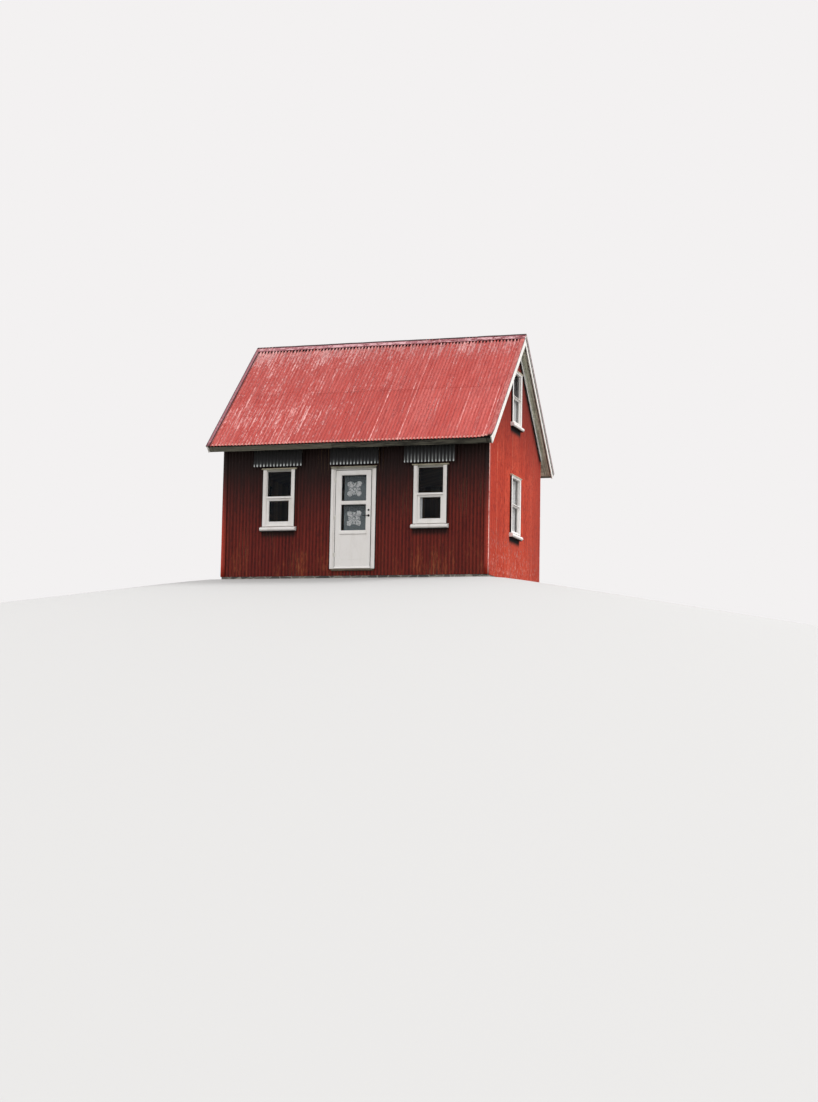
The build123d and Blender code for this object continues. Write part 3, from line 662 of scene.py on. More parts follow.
# The linings behind the frames are dark bare wood, darkened further as painted shade in the reveals.
LINING_WOOD = weathered_wood("lining wood", tone(74, 56, 42), tone(40, 30, 24))
BARE_BOARDS = bare_boards()
print("paint and wood are ready")


# %% Stone, metal, glass and cloth
def foundation_stone():
    """Rubble in mortar: cells of stone with their own greys, set in rough mortar."""
    r = Recipe("foundation stone")
    place = r.place()
    size = (0.22, 0.22, 0.1)
    edge = r.cells(place, size, "DISTANCE_TO_EDGE")
    stone = r.cells(place, size, out="Color")
    grit = r.noise(place, (0.01, 0.01, 0.01), detail=4)
    shade = r.split(stone)[0] * 0.6 + grit * 0.4
    colour = r.mix(shade.rises(0.1, 0.9), tone(70, 70, 68), tone(126, 122, 114))
    colour = r.mix(1.0 - edge.rises(0.03, 0.08), colour, tone(150, 146, 136))
    return r.finish(colour, 0.85 + grit * 0.1, edge.rises(0.0, 0.1) + grit * 0.3, 0.006)


def galvanised_iron():
    """Zinc coated iron: dull grey crests, painted shade in the valleys and towards the head
    under the eave, and bright crest ends at the foot, partly rain-washed zinc and partly
    painted highlight, which reach higher on the right."""
    r = Recipe("galvanised iron")
    lay = r.lay()
    _, up, out = r.split(lay)
    spangle = r.split(r.cells(lay, (0.012, 0.016, 0.012), out="Color"))[0]
    bloom = r.noise(lay, (0.03, 0.12, 0.1), detail=4, shift=2.0)
    rib = r.noise(lay, (0.06, 0.9, 0.5), detail=2, roughness=0.7, shift=13.0)
    rust = r.noise(lay, (0.025, 0.09, 0.05), detail=4, shift=7.0)
    ridge = out * (1 / IRON_DEPTH) + 1.0
    crest = ridge.rises(0.5, 0.98)
    # Painted highlight, partly washed zinc: bright crest ends at the foot, reaching higher on the
    # right.
    reach = r.split(r.place())[0].rises(0.5, 1.4) * 0.13 + 0.10
    foot = 1.0 - ((up + (rib - 0.5) * 0.22) / reach).rises(0.0, 1.0)
    colour = r.mix(spangle * 0.4 + bloom * 0.4, tone(42, 44, 46), tone(60, 63, 64))
    colour = r.mix(crest * foot * (rib * 2.0 + bloom - 0.65), colour, tone(160, 162, 161))
    tip = (1.0 - up.rises(0.02, 0.06)) * crest * (rib * 2.6 - 0.4)
    colour = r.mix(tip, colour, tone(216, 220, 221))
    # Painted shade in the valleys.
    colour = r.mix((1.0 - ridge.rises(0.3, 0.85)) * 0.92, colour, tone(20, 20, 22))
    # Painted shade towards the head, under the eave.
    colour = r.mix(((up + (bloom - 0.5) * 0.10) / reach).rises(0.7, 1.7), colour, tone(11, 11, 13))
    colour = r.mix(rust.rises(0.66, 0.74) * 0.6, colour, tone(96, 62, 42))
    roughness = 0.5 + bloom * 0.25 + rust.rises(0.6, 0.74) * 0.2
    return r.finish(colour, roughness, bloom * 0.6 + spangle * 0.1, 0.0006, Metallic=0.1)


def dark_metal(name, body, worn, metallic):
    """Lacquered or rusting metal: body with worn blotches and fine pits."""
    r = Recipe(name)
    place = r.place()
    cloud = r.noise(place, (0.02, 0.02, 0.02), detail=4)
    pits = r.noise(place, (0.002, 0.002, 0.002), detail=2, shift=3.0)
    colour = r.mix(cloud.rises(0.5, 0.75), body, worn)
    return r.finish(colour, 0.35 + cloud * 0.3, pits, 0.0002, Metallic=metallic,
                    Specular_IOR_Level=0.25)


def window_glass():
    """Old drawn glass: dark, thin and slightly wavy, with a little dust in blotches."""
    r = Recipe("window glass")
    place = r.place()
    wave = r.noise(place, (0.16, 0.16, 0.3), detail=1)
    dust = r.noise(place, (0.05, 0.05, 0.05), detail=5, shift=2.0)
    colour = r.mix(dust.rises(0.5, 0.9), tone(26, 32, 38), tone(52, 56, 60))
    alpha = 0.17 + dust.rises(0.45, 0.9) * 0.06
    return r.finish(colour, 0.04 + dust * 0.06, wave, 0.004, alpha, Specular_IOR_Level=0.2)


WEAVE = 5200.0


def curtain_cloth(name, body, crest):
    """Cotton voile: a plain weave of two crossed waves, and faint creases."""
    r = Recipe(name)
    along, down, _ = r.split(r.lay())
    crease = r.noise(r.lay(), (0.05, 0.3, 0.05), detail=4)
    weave = (along * WEAVE).math("SINE") * (down * WEAVE).math("SINE")
    colour = r.mix(crease.rises(0.3, 0.8), body, crest)
    return r.finish(colour, 0.85 + crease * 0.1, weave * 0.2 + crease, 0.0008, Sheen_Weight=0.2)


GALVANISED = galvanised_iron()
STONE = foundation_stone()
BLACK_IRON = dark_metal("black lacquered iron", tone(14, 14, 15), tone(34, 31, 29), 0.0)
# Dark strips that stand for shadow beside casings, under sills, at the eaves, the verges and the
# door: painted shadow.
SHADOW_DARK = dark_metal("dark strips of painted shadow", tone(20, 17, 18), tone(44, 36, 34), 0.0)
HINGE_STEEL = dark_metal("painted hinge steel", tone(222, 219, 213), tone(176, 166, 150), 0.0)
NAIL_METAL = dark_metal("nail heads", tone(84, 50, 44), tone(58, 44, 40), 0.3)
GLASS = window_glass()
CLOTH = curtain_cloth("curtain cloth", tone(230, 230, 227), tone(246, 246, 245))
# The front curtain's cloth is whiter than the other curtains: painted light.
FRONT_CLOTH = curtain_cloth("curtain cloth painted brighter", tone(246, 248, 250), tone(253, 254, 255))
print("stone, metal, glass and cloth are ready")

# %% [markdown]
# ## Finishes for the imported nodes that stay
#
# Walls, floors, roof decks, the foundation and the panes already have their true
# shape, so they stay as they are and only take a finish.

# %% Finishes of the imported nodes
BOARDED_NODES = (
    "floor", "attic_floor", "front_wall_left", "front_wall_right", "front_wall_over_door",
    "back_wall", "left_gable_wall", "right_gable_wall", "front_roof_deck", "back_roof_deck",
)
GLAZED = ("door", "front_left_window", "front_right_window", "back_window",
          "left_gable_window", "right_gable_window")
KEPT_NODES = {"foundation": STONE, **dict.fromkeys(BOARDED_NODES, BARE_BOARDS)}
KEPT_NODES.update({f"{opening}_glass": GLASS for opening in GLAZED})
for node_name, material in KEPT_NODES.items():
    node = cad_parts[node_name]
    node.data.materials.clear()
    node.data.materials.append(material)
print(len(KEPT_NODES), "packed nodes keep their shape")

# %% [markdown]
# ## Corrugated sheets
#
# Corrugated iron comes in sheets eight corrugations wide, each lapped over the next,
# and in lengths that lap again where one isn't long enough. A wave of the whole wall
# would be simpler, but the laps are what the eye finds on an old roof. So each sheet
# is its own surface: a cosine across, and a lift that falls from its lapping edge to
# its other one. Cells that lie in a window's hole are left out.

# %% Corrugated sheets
COVER, OVERLAP = 8 * PITCH, 1.4 * PITCH
STEPS_A_PITCH, ROW_HEIGHT, RIM = 8, 0.3, 0.003
BUCKLE, END_SLIP = 0.0012, 0.004
CHALKY_EDGE, CHALKY_SHARE, CHALKY_TINT = 0.014, 0.4, 2.2


def wave(u, phase):
    """Height of the iron at u: half its depth times (cosine - 1), so crests are at 0."""
    return IRON_DEPTH / 2 * (np.cos(2 * pi * u / PITCH + phase) - 1)


def corrugated(stack, place, sides, courses, seed, phase=0.0, holes=(), ceiling=None, bend=None):
    """Add lapped sheets between two sides. A course is (from v, to v, lift), holes are
    (low u, high u, low v, high v), ceiling gives the highest v at u, and bend gives
    a further lift at (u, v). w = wave + course lift + lap lift + a slight buckle. Each
    sheet has its own tint, a foot that slips a little, and here and there a chalky edge."""
    rng = np.random.default_rng(seed)
    start, end = sides
    for first, last, course_lift in courses:
        levels = {first, last}
        levels |= {v for hole in holes for v in hole[2:] if min(first, last) < v < max(first, last)}
        levels = sorted(levels)
        rows = np.concatenate([
            np.concatenate([[a], np.linspace(a + RIM, b - RIM, max(2, round((b - a) / ROW_HEIGHT)))])
            for a, b in zip(levels, levels[1:])
        ] + [[levels[-1]]])
        for edge in np.arange(start, end - 0.01, COVER):
            stop = min(edge + COVER + OVERLAP, end)
            count = round((stop - edge) / PITCH * STEPS_A_PITCH) + 1
            across = np.linspace(edge, stop, count)
            across = np.sort(np.concatenate([across, [edge + RIM, stop - RIM]]))
            tint, slip = rng.uniform(0, 1), rng.uniform(-END_SLIP, END_SLIP)
            sway = rng.uniform(0, 2 * pi)
            u, v = np.meshgrid(across, rows)
            v = v + slip * (v == max(first, last)) * (ceiling is None)
            if ceiling is not None:
                v = np.minimum(v, ceiling(u))
            lap = LAP_LIFT * (1 - (u - edge) / (stop - edge))
            buckle = BUCKLE * np.sin(2.1 * v + sway) * np.sin((u - edge) * pi / (stop - edge))
            w = wave(u, phase) + course_lift + lap + buckle
            if bend is not None:
                w = w + bend(u, v)
            quads = grid_quads(*u.shape)
            chalky = CHALKY_TINT if rng.uniform() < CHALKY_SHARE else 0.0
            tints = (tint + chalky * (u < edge + CHALKY_EDGE)).ravel()
            flat = np.stack([u, v, w], axis=2).reshape(-1, 3)
            middle = flat[quads].mean(axis=1)
            keep = np.ptp(flat[quads, 1], axis=1) > 1e-6
            for low_u, high_u, low_v, high_v in holes:
                inside = (middle[:, 0] > low_u) & (middle[:, 0] < high_u)
                keep &= ~(inside & (middle[:, 1] > low_v) & (middle[:, 1] < high_v))
            used, renumbered = np.unique(quads[keep], return_inverse=True)
            if len(used):
                stack.sheet(place, flat[used], renumbered.reshape(-1, 4), tints[used])


NAIL_HEIGHT, NAIL_SIDES = 0.004, 7


def nail_heads(stack, place, spots, radius=0.006):
    """Add round nail heads at (u, v, w) spots: three rings whose radius falls as a
    quarter circle while they rise."""
    rise = NAIL_HEIGHT * np.array((-0.4, 0.35, 0.85))
    shrink = radius * np.array((1.0, 0.92, 0.5))
    turn = np.linspace(0, 2 * pi, NAIL_SIDES, endpoint=False)
    head = np.stack([shrink[:, None] * np.cos(turn), shrink[:, None] * np.sin(turn),
                     rise[:, None] + 0 * turn], axis=2)
    for spot in spots:
        stack.rings(place, head + np.array(spot))


# %% [markdown]
# ## The roof
#
# Two courses of sheets lie on each slope, the upper one lapped over the lower. The
# phase puts a valley under the inner edge of each verge flashing, which gives the
# dark line that shows there. One lower corner has been lifted by the wind.

# %% Roof sheets and their nails
ROOF_COURSES = ((0.012, 1.96, LAP_LIFT), (1.82, SLOPE_LENGTH, 0.0))
ROOF_PHASE = pi
ROOF_NAIL_ROWS, ROOF_NAIL_RADIUS = (0.75, 1.89, 2.75, SLOPE_LENGTH - 0.07), 0.008
BENT_FROM_U, BENT_FROM_V, BENT_LIFT = 2.80, SLOPE_LENGTH - 0.30, 0.055


def lifted_corner(u, v):
    """Lift of the front slope's right lower corner: the product of both shares past the
    lines where the bend starts, each to the power of one and a half."""
    past_u = np.clip((u - BENT_FROM_U) / (ROOF_HALF_LENGTH - BENT_FROM_U), 0, 1)
    past_v = np.clip((v - BENT_FROM_V) / (SLOPE_LENGTH - BENT_FROM_V), 0, 1)
    return BENT_LIFT * past_u ** 1.5 * past_v ** 1.5


roof_nails = Stack()
crests = (np.arange(-40, 40, 2) + 0.5) * PITCH
for name, side in (("front", -1), ("back", 1)):
    place, sheets = partial(on_slope, side), Stack()
    bend = lifted_corner if side < 0 else None
    corrugated(sheets, place, (-ROOF_HALF_LENGTH, ROOF_HALF_LENGTH), ROOF_COURSES,
               seed=20 + side, phase=ROOF_PHASE, bend=bend)
    make_piece(f"{name}_roof_iron", sheets, ROOF_PAINT,
               (f"{name}_roof_sheet",), open_sheet=True, smooth=50)
    for v in ROOF_NAIL_ROWS:
        lift = lifted_corner(crests, v) if side < 0 else 0 * crests
        spots = np.stack([crests, v + 0 * crests, 0.004 + lift], axis=1)
        nail_heads(roof_nails, place, spots, ROOF_NAIL_RADIUS)
make_piece("roof_nails", roof_nails, NAIL_METAL, smooth=60)

# %% [markdown]
# ## Wall iron
#
# The walls wear the same iron upright. Its edges hide under the casings, so each hole
# is a little larger than the opening behind it. On a gable the sheets are cut along
# the roof's slope, which the ceiling does by moving the highest points down to it.

# %% Wall sheets
HOLE_EASE, CORNER_EASE = 0.018, 0.004
door_low, door_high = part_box("door_frame")
sill_low, sill_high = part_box("door_threshold")
DOOR_X = (door_low.x + door_high.x) / 2
WALL_LAP_Z, WALL_LAP, WALL_LAP_LIFT = 2.45, 0.1, 0.0013
UNDER_DECK = DECK_BELOW + 0.01
WALL_NAIL_ROWS = (0.16, 0.95, 1.75, 2.52, 3.35, 4.15)


def wall_holes(wall):
    """Holes of a wall's windows, and of the door on the front, a little enlarged."""
    holes = []
    for middle, sill_z, head_z, width in WINDOWS[wall]:
        half = width / 2 - CASING + HOLE_EASE
        holes.append((middle - half, middle + half, sill_z + SILL_HEIGHT - HOLE_EASE,
                      head_z - BOARD_HEIGHT + HOLE_EASE))
    if wall == "front":
        half = (sill_high.x - sill_low.x) / 2 + HOLE_EASE
        holes.append((DOOR_X - half, DOOR_X + half, sill_high.z - 0.04, door_high.z - 0.02))
    return holes


wall_nails = Stack()
for wall, paint in WALL_PAINTS.items():
    place, sheets = partial(on_wall, wall), Stack()
    is_gable = wall.endswith("gable")
    half = (HALF_DEPTH if is_gable else HALF_LENGTH) - CORNER_EASE
    top = under_roof(0 if is_gable else HALF_DEPTH, UNDER_DECK)
    courses, ceiling = [(IRON_BOTTOM, top, 0.0)], None
    if is_gable:
        courses = [(IRON_BOTTOM, WALL_LAP_Z + WALL_LAP, 0.0), (WALL_LAP_Z, top, WALL_LAP_LIFT)]
        ceiling = partial(under_roof, below=UNDER_DECK)
    holes = wall_holes(wall)
    corrugated(sheets, place, (-half, half), courses, seed=len(wall), holes=holes,
               ceiling=ceiling)
    make_piece(f"{wall}_iron", sheets, paint, (f"{wall}_cladding",),
               open_sheet=True, smooth=50)
    spots = []
    for v in WALL_NAIL_ROWS:
        for u in np.arange(-38, 39, 2) * PITCH:
            free = not any(a - 0.09 < u < b + 0.09 and c - 0.14 < v < d + 0.08
                           for a, b, c, d in holes)
            highest = under_roof(u, 0.3) if is_gable else top - 0.1
            if abs(u) < half - 0.05 and v < highest and free:
                spots.append((u, v, 0.003))
    nail_heads(wall_nails, place, spots)
make_piece("wall_nails", wall_nails, NAIL_METAL, smooth=60)

# %% [markdown]
# ## Flashings
#
# Bent flat sheet closes the ridge, the verges and the corners. The ridge flashing lies
# straight across the crests, so every valley under its edge is a small dark hole, and
# painted shadow in the roof's paint makes those holes uneven. Where a fold has worn down
# to pale primer or is painted pale as a highlight, and where a dark line of painted
# shadow runs, the points there carry a tint that the paint reads.

# %% Paint of the flashings
def flashing_paint(name, tones, worn_share, line, stain_share=0.6, on_corners=False):
    """Paint on flat bent sheet, coming off in blotches down to pale primer. tones are
    its body, worn, bare and stained colours. A tint near 1 marks a fold worn to primer,
    which on the corners and the back verges is also a painted highlight, one below 0 a
    dark line of painted shadow, and one near 2 a strip painted with the roof. On the
    corners painted shade darkens the front's leg towards the eave, as on the front."""
    body, worn, bare, stained = tones
    r = Recipe(name)
    place, tint = r.place(), r.tint()
    x, y, z = r.split(place)
    blotch = r.noise(place, (0.14, 0.09, 0.09), detail=5, roughness=0.65)
    grit = r.noise(place, (0.035, 0.03, 0.03), detail=3, roughness=0.7, shift=4.0)
    fold = tint.rises(0.0, 1.0) - tint.rises(1.2, 1.6)
    share = blotch * 0.8 + grit * 0.25 + fold * 0.5
    share = share.rises(0.78 - worn_share, 0.9 - worn_share)
    colour = r.mix(grit.rises(0.35, 0.7), body, worn)
    colour = r.mix(share, colour, bare)
    darkening = r.noise(place, (0.16, 0.05, 0.05), detail=4, roughness=0.7, shift=9.0) + x * 0.02
    colour = r.mix(darkening.rises(0.54, 0.60) * stain_share, colour, stained)
    streak = r.noise(place, (0.03, 0.16, 0.16), detail=3, roughness=0.7, shift=5.0)
    as_roof = r.mix((streak * 0.6 + grit * 0.4).rises(0.36, 0.68),
                    tone(158, 58, 54), tone(204, 128, 122))
    colour = r.mix(tint.rises(1.4, 1.8), colour, as_roof)
    # A tint below 0 draws a dark line of painted shadow.
    colour = r.mix((1.0 - tint.rises(-0.9, -0.1)) * 0.9, colour, line)
    # Painted shade: the front's leg of each corner flashing darkens towards the eave.
    if on_corners:
        on_front = 1.0 - (y + HALF_DEPTH).rises(-0.002, 0.001)
        colour = r.mix(on_front * z.rises(0.75, 2.5), colour, tone(36, 20, 18))
    height = blotch * 0.3 + share * 0.6
    return r.finish(colour, 0.5 + share * 0.25, height, 0.0006, Specular_IOR_Level=0.2)


RIDGE_TONES = tone(146, 84, 90), tone(172, 112, 119), tone(206, 162, 166), tone(112, 34, 40)
VERGE_TONES = tone(140, 84, 90), tone(158, 104, 112), tone(176, 130, 138), tone(110, 50, 56)
CORNER_TONES = tone(172, 50, 34), tone(188, 64, 44), tone(254, 214, 200), tone(140, 44, 36)
RIDGE_PAINT = flashing_paint("ridge flashing paint", RIDGE_TONES, 0.07, tone(30, 22, 24), 0.9)
VERGE_PAINT = flashing_paint("verge flashing paint", VERGE_TONES, 0.06, tone(26, 14, 18))
CORNER_PAINT = flashing_paint("corner flashing paint", CORNER_TONES, -0.07, tone(60, 22, 20),
                              0.3, on_corners=True)

# %% Ridge flashing
CAP_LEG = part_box("ridge_cap")[1].y / LEAN
CAP_TOP, CAP_LENGTH, CAP_LAP, RIDGE_SHADOW_HALF = 0.0026, 1.83, 0.1, 0.036


def ridge_surface(start, end, lift, seed):
    """Ridge flashing between two u: across it, the distance from the ridge line runs
    from -CAP_LEG to CAP_LEG, and the fold is eased with hypot instead of abs. Small
    sines along u are its dents."""
    along = np.linspace(start, end, 31)
    across = np.concatenate([np.linspace(-CAP_LEG, -0.05, 6), np.linspace(-0.04, 0.04, 9),
                             np.linspace(0.05, CAP_LEG, 6)])
    u, s = np.meshgrid(along, across)
    eased = np.hypot(s, 0.006)
    dent = 0.0012 * np.sin(9 * u + seed) * np.sin(7 * s + 2 * u)
    y = s * LEAN
    z = RIDGE_Z - eased * RISE + (CAP_TOP + lift + dent) / LEAN
    return np.stack([u, y, z], axis=2).reshape(-1, 3), grid_quads(len(across), len(along))


ridge = Stack()
starts = np.arange(-ROOF_HALF_LENGTH, ROOF_HALF_LENGTH - 0.2, CAP_LENGTH - CAP_LAP)
for number, start in enumerate(starts):
    end = min(start + CAP_LENGTH, ROOF_HALF_LENGTH)
    points, quads = ridge_surface(start, end, (number % 2) * LAP_LIFT, number)
    # Painted shadow: a dark tint along the crest and along both lower edges of the flashing.
    from_line = np.abs(points[:, 1])
    shaded_line = (from_line < RIDGE_SHADOW_HALF) | (from_line > 0.99 * CAP_LEG * LEAN)
    ridge.sheet(straight, points, quads, 0.45 + 0.1 * (number % 2) - 1.5 * shaded_line)
make_piece("ridge_flashing", ridge, RIDGE_PAINT, ("ridge_cap",),
           open_sheet=True, smooth=50)

# %% Verge and corner flashings
VERGE_WIDTH, VERGE_TURN_DOWN = 0.095, 0.026
# Tints across a verge: on the left end dark lines of painted shadow at the inner and outer edges
# beside a worn strip, on the right end the roof's paint; the turn-down is painted shadow on the front
# slope and pale as a painted highlight on the back one.
LEFT_SHADES = (-1.0, -1.0, -1.0, 0.4, 0.4, -0.7, -1.0, -1.0, -1.0)
RIGHT_SHADES = (2.0, 2.0, 2.0, 2.0, 2.0, 2.0, 2.0, 0.0)
TURN_DOWN_SHADES = {-1: -1.0, 1: 0.9}
CORNER_WIDTH, CORNER_OUT, CORNER_FOLD, WORN_REACH = 0.095, 0.0026, 0.004, 0.028


def carried(rows, profile):
    """Three grids of a profile of (a, b) points repeated at each row: row, a and b."""
    row, spot = np.meshgrid(rows, np.arange(len(profile)), indexing="ij")
    return row, profile[spot, 0], profile[spot, 1]


verges = Stack()
rows = np.linspace(CAP_LEG - 0.05, SLOPE_LENGTH + 0.002, 25)
inner, outer = ROOF_HALF_LENGTH - VERGE_WIDTH, ROOF_HALF_LENGTH
strip = np.array([
    (inner, -0.002), (inner + 0.004, 0.0032), (inner + 0.022, 0.0032), (inner + 0.026, 0.0032),
    (outer - 0.020, 0.003), (outer - 0.016, 0.0032), (outer, 0.0034), (outer + 0.0018, 0.001),
    (outer + 0.0022, -VERGE_TURN_DOWN),
])
for side in (-1, 1):
    for end in (-1, 1):
        shades = LEFT_SHADES if end < 0 else (*RIGHT_SHADES, TURN_DOWN_SHADES[side])
        v, u, w = carried(rows, strip)
        u, w = end * u, w + 0.0008 * np.sin(5 * v + side + end)
        if side < 0 and end > 0:
            w = w + lifted_corner(u, v)
        flat = np.stack([u, v, w], axis=2).reshape(-1, 3)
        verges.sheet(partial(on_slope, side), flat, grid_quads(*u.shape),
                     np.tile(shades, len(rows)))
make_piece("verge_flashings", verges, VERGE_PAINT, ("verge_caps",),
           open_sheet=True, smooth=40)

corners = Stack()
corner_low, corner_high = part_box("corner_trims")
rows = np.linspace(corner_low.z, corner_high.z, 14)
legs = (CORNER_WIDTH, 0.05, 0.012)
for x_side in (-1, 1):
    for y_side in (-1, 1):
        x, y = x_side * (HALF_LENGTH + CORNER_OUT), y_side * (HALF_DEPTH + CORNER_OUT)
        path = [(x - x_side * leg, y) for leg in legs]
        path += [(x - x_side * CORNER_FOLD * (1 - sin(a)), y - y_side * CORNER_FOLD * (1 - cos(a)))
                 for a in np.linspace(0, pi / 2, 5)]
        path += [(x, y - y_side * leg) for leg in legs[::-1]]
        path = np.array(path)
        # Tints: the fold at each corner is pale, partly wear and partly painted highlight; on the
        # front corners the front's leg takes painted shade, and on the back corners the gable's leg a
        # paler line as painted highlight.
        worn = np.exp(-(np.hypot(*(path - (x, y)).T) / WORN_REACH) ** 2)
        if y_side < 0:
            worn = worn - 0.5 * (np.abs(path[:, 1] - y) < 1e-6)
        else:
            worn = worn * 0.6 + 0.35 * (np.abs(path[:, 0] - x) < 1e-6) * (worn < 0.5)
        z, px, py = carried(rows, path)
        ripple = 0.0007 * np.sin(3 * z + x_side + 2 * y_side)
        flat = np.stack([px + x_side * ripple, py + y_side * ripple, z], axis=2).reshape(-1, 3)
        quads = grid_quads(*z.shape)
        if x_side * y_side > 0:
            quads = quads[:, ::-1]
        corners.add(straight, flat, quads.tolist(), np.tile(worn, len(rows)))
make_piece("corner_flashings", corners, CORNER_PAINT, ("corner_trims",),
           open_sheet=True, smooth=35)

# %% [markdown]
# ## Boards of the roof's edges
#
# Bargeboards close the verges, fascias the eaves, and narrow soffit boards the
# undersides. Each board is an outline carried along, with eased edges, and each has
# a tint of its own so that the grain differs from board to board. Against the gables
# run rake boards, white over a dark foot of painted shadow, and dark strips of painted
# shadow lie where a soffit meets a bargeboard and under the back slope's drip: thin
# blocks draw them, because a line of paint on a board's edge would blur there.

# %% Bargeboards and fascias
BARGE_DEPTH, BARGE_THICKNESS = 0.160, 0.022
BARGE_DRIP, BARGE_DRIP_OUT = 0.030, 0.008
SHEET_LIP, SHEET_SIDE_LIP = 0.032, 0.012
FASCIA_DEPTH, FASCIA_THICKNESS, FASCIA_JOINT = 0.172, 0.022, -0.35
EAVE_SHADOW_DEPTH = 0.040
UNDER_IRON = IRON_DEPTH + 0.001
BARGE_FACE = ROOF_HALF_LENGTH - SHEET_SIDE_LIP
BARGE_BACK = BARGE_FACE - BARGE_THICKNESS
DECK_END = SHEET_LIP + FASCIA_THICKNESS

for name, end in (("left", -1), ("right", 1)):
    planks = Stack()
    for side in (-1, 1):
        outline = slope_band(side, UNDER_IRON, IRON_DEPTH + BARGE_DEPTH, 0.001)
        planks.prism(straight, outline, end * BARGE_BACK, end * BARGE_FACE, 0.4 + 0.1 * side)
        drip = slope_band(side, UNDER_IRON, IRON_DEPTH + BARGE_DRIP, 0.0)
        planks.prism(straight, drip, end * BARGE_FACE, end * (BARGE_FACE + BARGE_DRIP_OUT))
    make_piece(f"{name}_barge_planks", planks, WORN_WHITE,
               (f"{name}_bargeboards",), bevel=0.003)

for name, side in (("front", -1), ("back", 1)):
    fascia, eave_shadow = Stack(), Stack()
    outline = slope_band(side, IRON_DEPTH, IRON_DEPTH + FASCIA_DEPTH, SHEET_LIP,
                         SLOPE_LENGTH - DECK_END)
    fascia.prism(straight, outline, -BARGE_BACK, FASCIA_JOINT, 0.8)
    fascia.prism(straight, outline, FASCIA_JOINT + 0.002, BARGE_BACK, 0.2)
    make_piece(f"{name}_fascia_boards", fascia, FASCIA_WOOD,
               (f"{name}_fascia",), bevel=0.003)
    # Painted shadow: a dark strip over the fascia's top, under the sheets' edge.
    outline = slope_band(side, UNDER_IRON, IRON_DEPTH + EAVE_SHADOW_DEPTH, SHEET_LIP - 0.004,
                         SLOPE_LENGTH - SHEET_LIP)
    eave_shadow.prism(straight, outline, -BARGE_BACK, BARGE_BACK)
    make_piece(f"{name}_eave_shadow_strip", eave_shadow, SHADOW_DARK)

# %% Soffits, rake boards and painted shadows
BOARD_GAP = 0.003
RAKE_THICKNESS, RAKE_WHITE_DEPTH = 0.020, 0.064
RAKE_FOOT_OUT, SOFFIT_SHADOW_WIDTH = 0.008, 0.022
DRIP_SHADOW = (0.031, 0.070)

soffits = Stack()
rng = np.random.default_rng(5)
for side in (-1, 1):
    first = (HALF_DEPTH + SOFFIT_BELOW * RISE) / LEAN
    edges = np.linspace(first, SLOPE_LENGTH - DECK_END, 6)
    for a, b in zip(edges, edges[1:]):
        outline = [slope_point(a, DECK_BELOW), slope_point(b - BOARD_GAP, DECK_BELOW),
                   slope_point(b - BOARD_GAP, SOFFIT_BELOW), slope_point(a, SOFFIT_BELOW)]
        outline = [(side * y, z) for y, z in outline]
        soffits.prism(straight, outline, -HALF_LENGTH, HALF_LENGTH, rng.uniform())
    outline = slope_band(side, DECK_BELOW, SOFFIT_BELOW, DECK_END)
    for end in (-1, 1):
        inner, outer = HALF_LENGTH + 0.001, BARGE_BACK
        middle = (inner + outer) / 2
        for a, b in ((inner, middle - BOARD_GAP / 2), (middle + BOARD_GAP / 2, outer)):
            soffits.prism(straight, outline, end * a, end * b, rng.uniform())
make_piece("soffit_boards", soffits, SOFFIT_WOOD, ("roof_soffits",),
           bevel=0.002)

rakes, painted_shadows = Stack(), Stack()
# Painted shadow: the dark foot under each rake board's white face, dark strips on the soffits beside
# the bargeboards, and a dark strip on the back bargeboards under the drip.
for end in (-1, 1):
    for side in (-1, 1):
        for stack, top, bottom, out in (
                (rakes, 0.0, RAKE_WHITE_DEPTH, RAKE_THICKNESS),
                (painted_shadows, RAKE_WHITE_DEPTH + 0.001, RAKE_DEPTH, RAKE_FOOT_OUT)):
            outline = [(side * y, under_roof(y, SOFFIT_BELOW + d)) for y, d in (
                (MITRE_GAP, top), (HALF_DEPTH, top), (HALF_DEPTH, bottom), (MITRE_GAP, bottom))]
            stack.prism(straight, outline, end * HALF_LENGTH, end * (HALF_LENGTH + out))
        outline = slope_band(side, SOFFIT_BELOW + 0.0005, SOFFIT_BELOW + 0.002, DECK_END)
        painted_shadows.prism(straight, outline, end * (BARGE_BACK - SOFFIT_SHADOW_WIDTH), end * (BARGE_BACK - 0.001))
    outline = slope_band(1, IRON_DEPTH + DRIP_SHADOW[0], IRON_DEPTH + DRIP_SHADOW[1], 0.001)
    painted_shadows.prism(straight, outline, end * (BARGE_FACE + 0.0005), end * (BARGE_FACE + 0.004))
make_piece("rake_boards", rakes, RAKE_WHITE, ("rake_trims",), bevel=0.003)
make_piece("verge_painted_shadows", painted_shadows, SHADOW_DARK)

# %% [markdown]
# ## Hoods
#
# A short plate of bare corrugated iron hangs plumb in front of the head of the door
# and of each front and back window. A board on the wall holds it off at the top, and
# two thin uprights behind its ends keep it straight. Its foot is cut square, so the
# ends of the corrugations show as a row of small arches.

# %% Hoods over the openings
HOOD_OUT, HOOD_EDGE_Z, HOOD_HEIGHT = 0.120, 2.382, 0.358
HOOD_BOARD_HEIGHT, HOOD_BOARD_INSET = 0.060, 0.030
HOOD_UPRIGHT = (0.045, 0.020)
WINDOW_HOOD_WIDTH, DOOR_HOOD_WIDTH, DOOR_HOOD_SHIFT = 1.085, 1.060, 0.040


def on_hood(wall, points):
    """World points of hood points (u, v, w): v up from the plate's foot, and w out of
    its outer face."""
    return on_wall(wall, np.asarray(points, float) + (0.0, HOOD_EDGE_Z, HOOD_OUT))


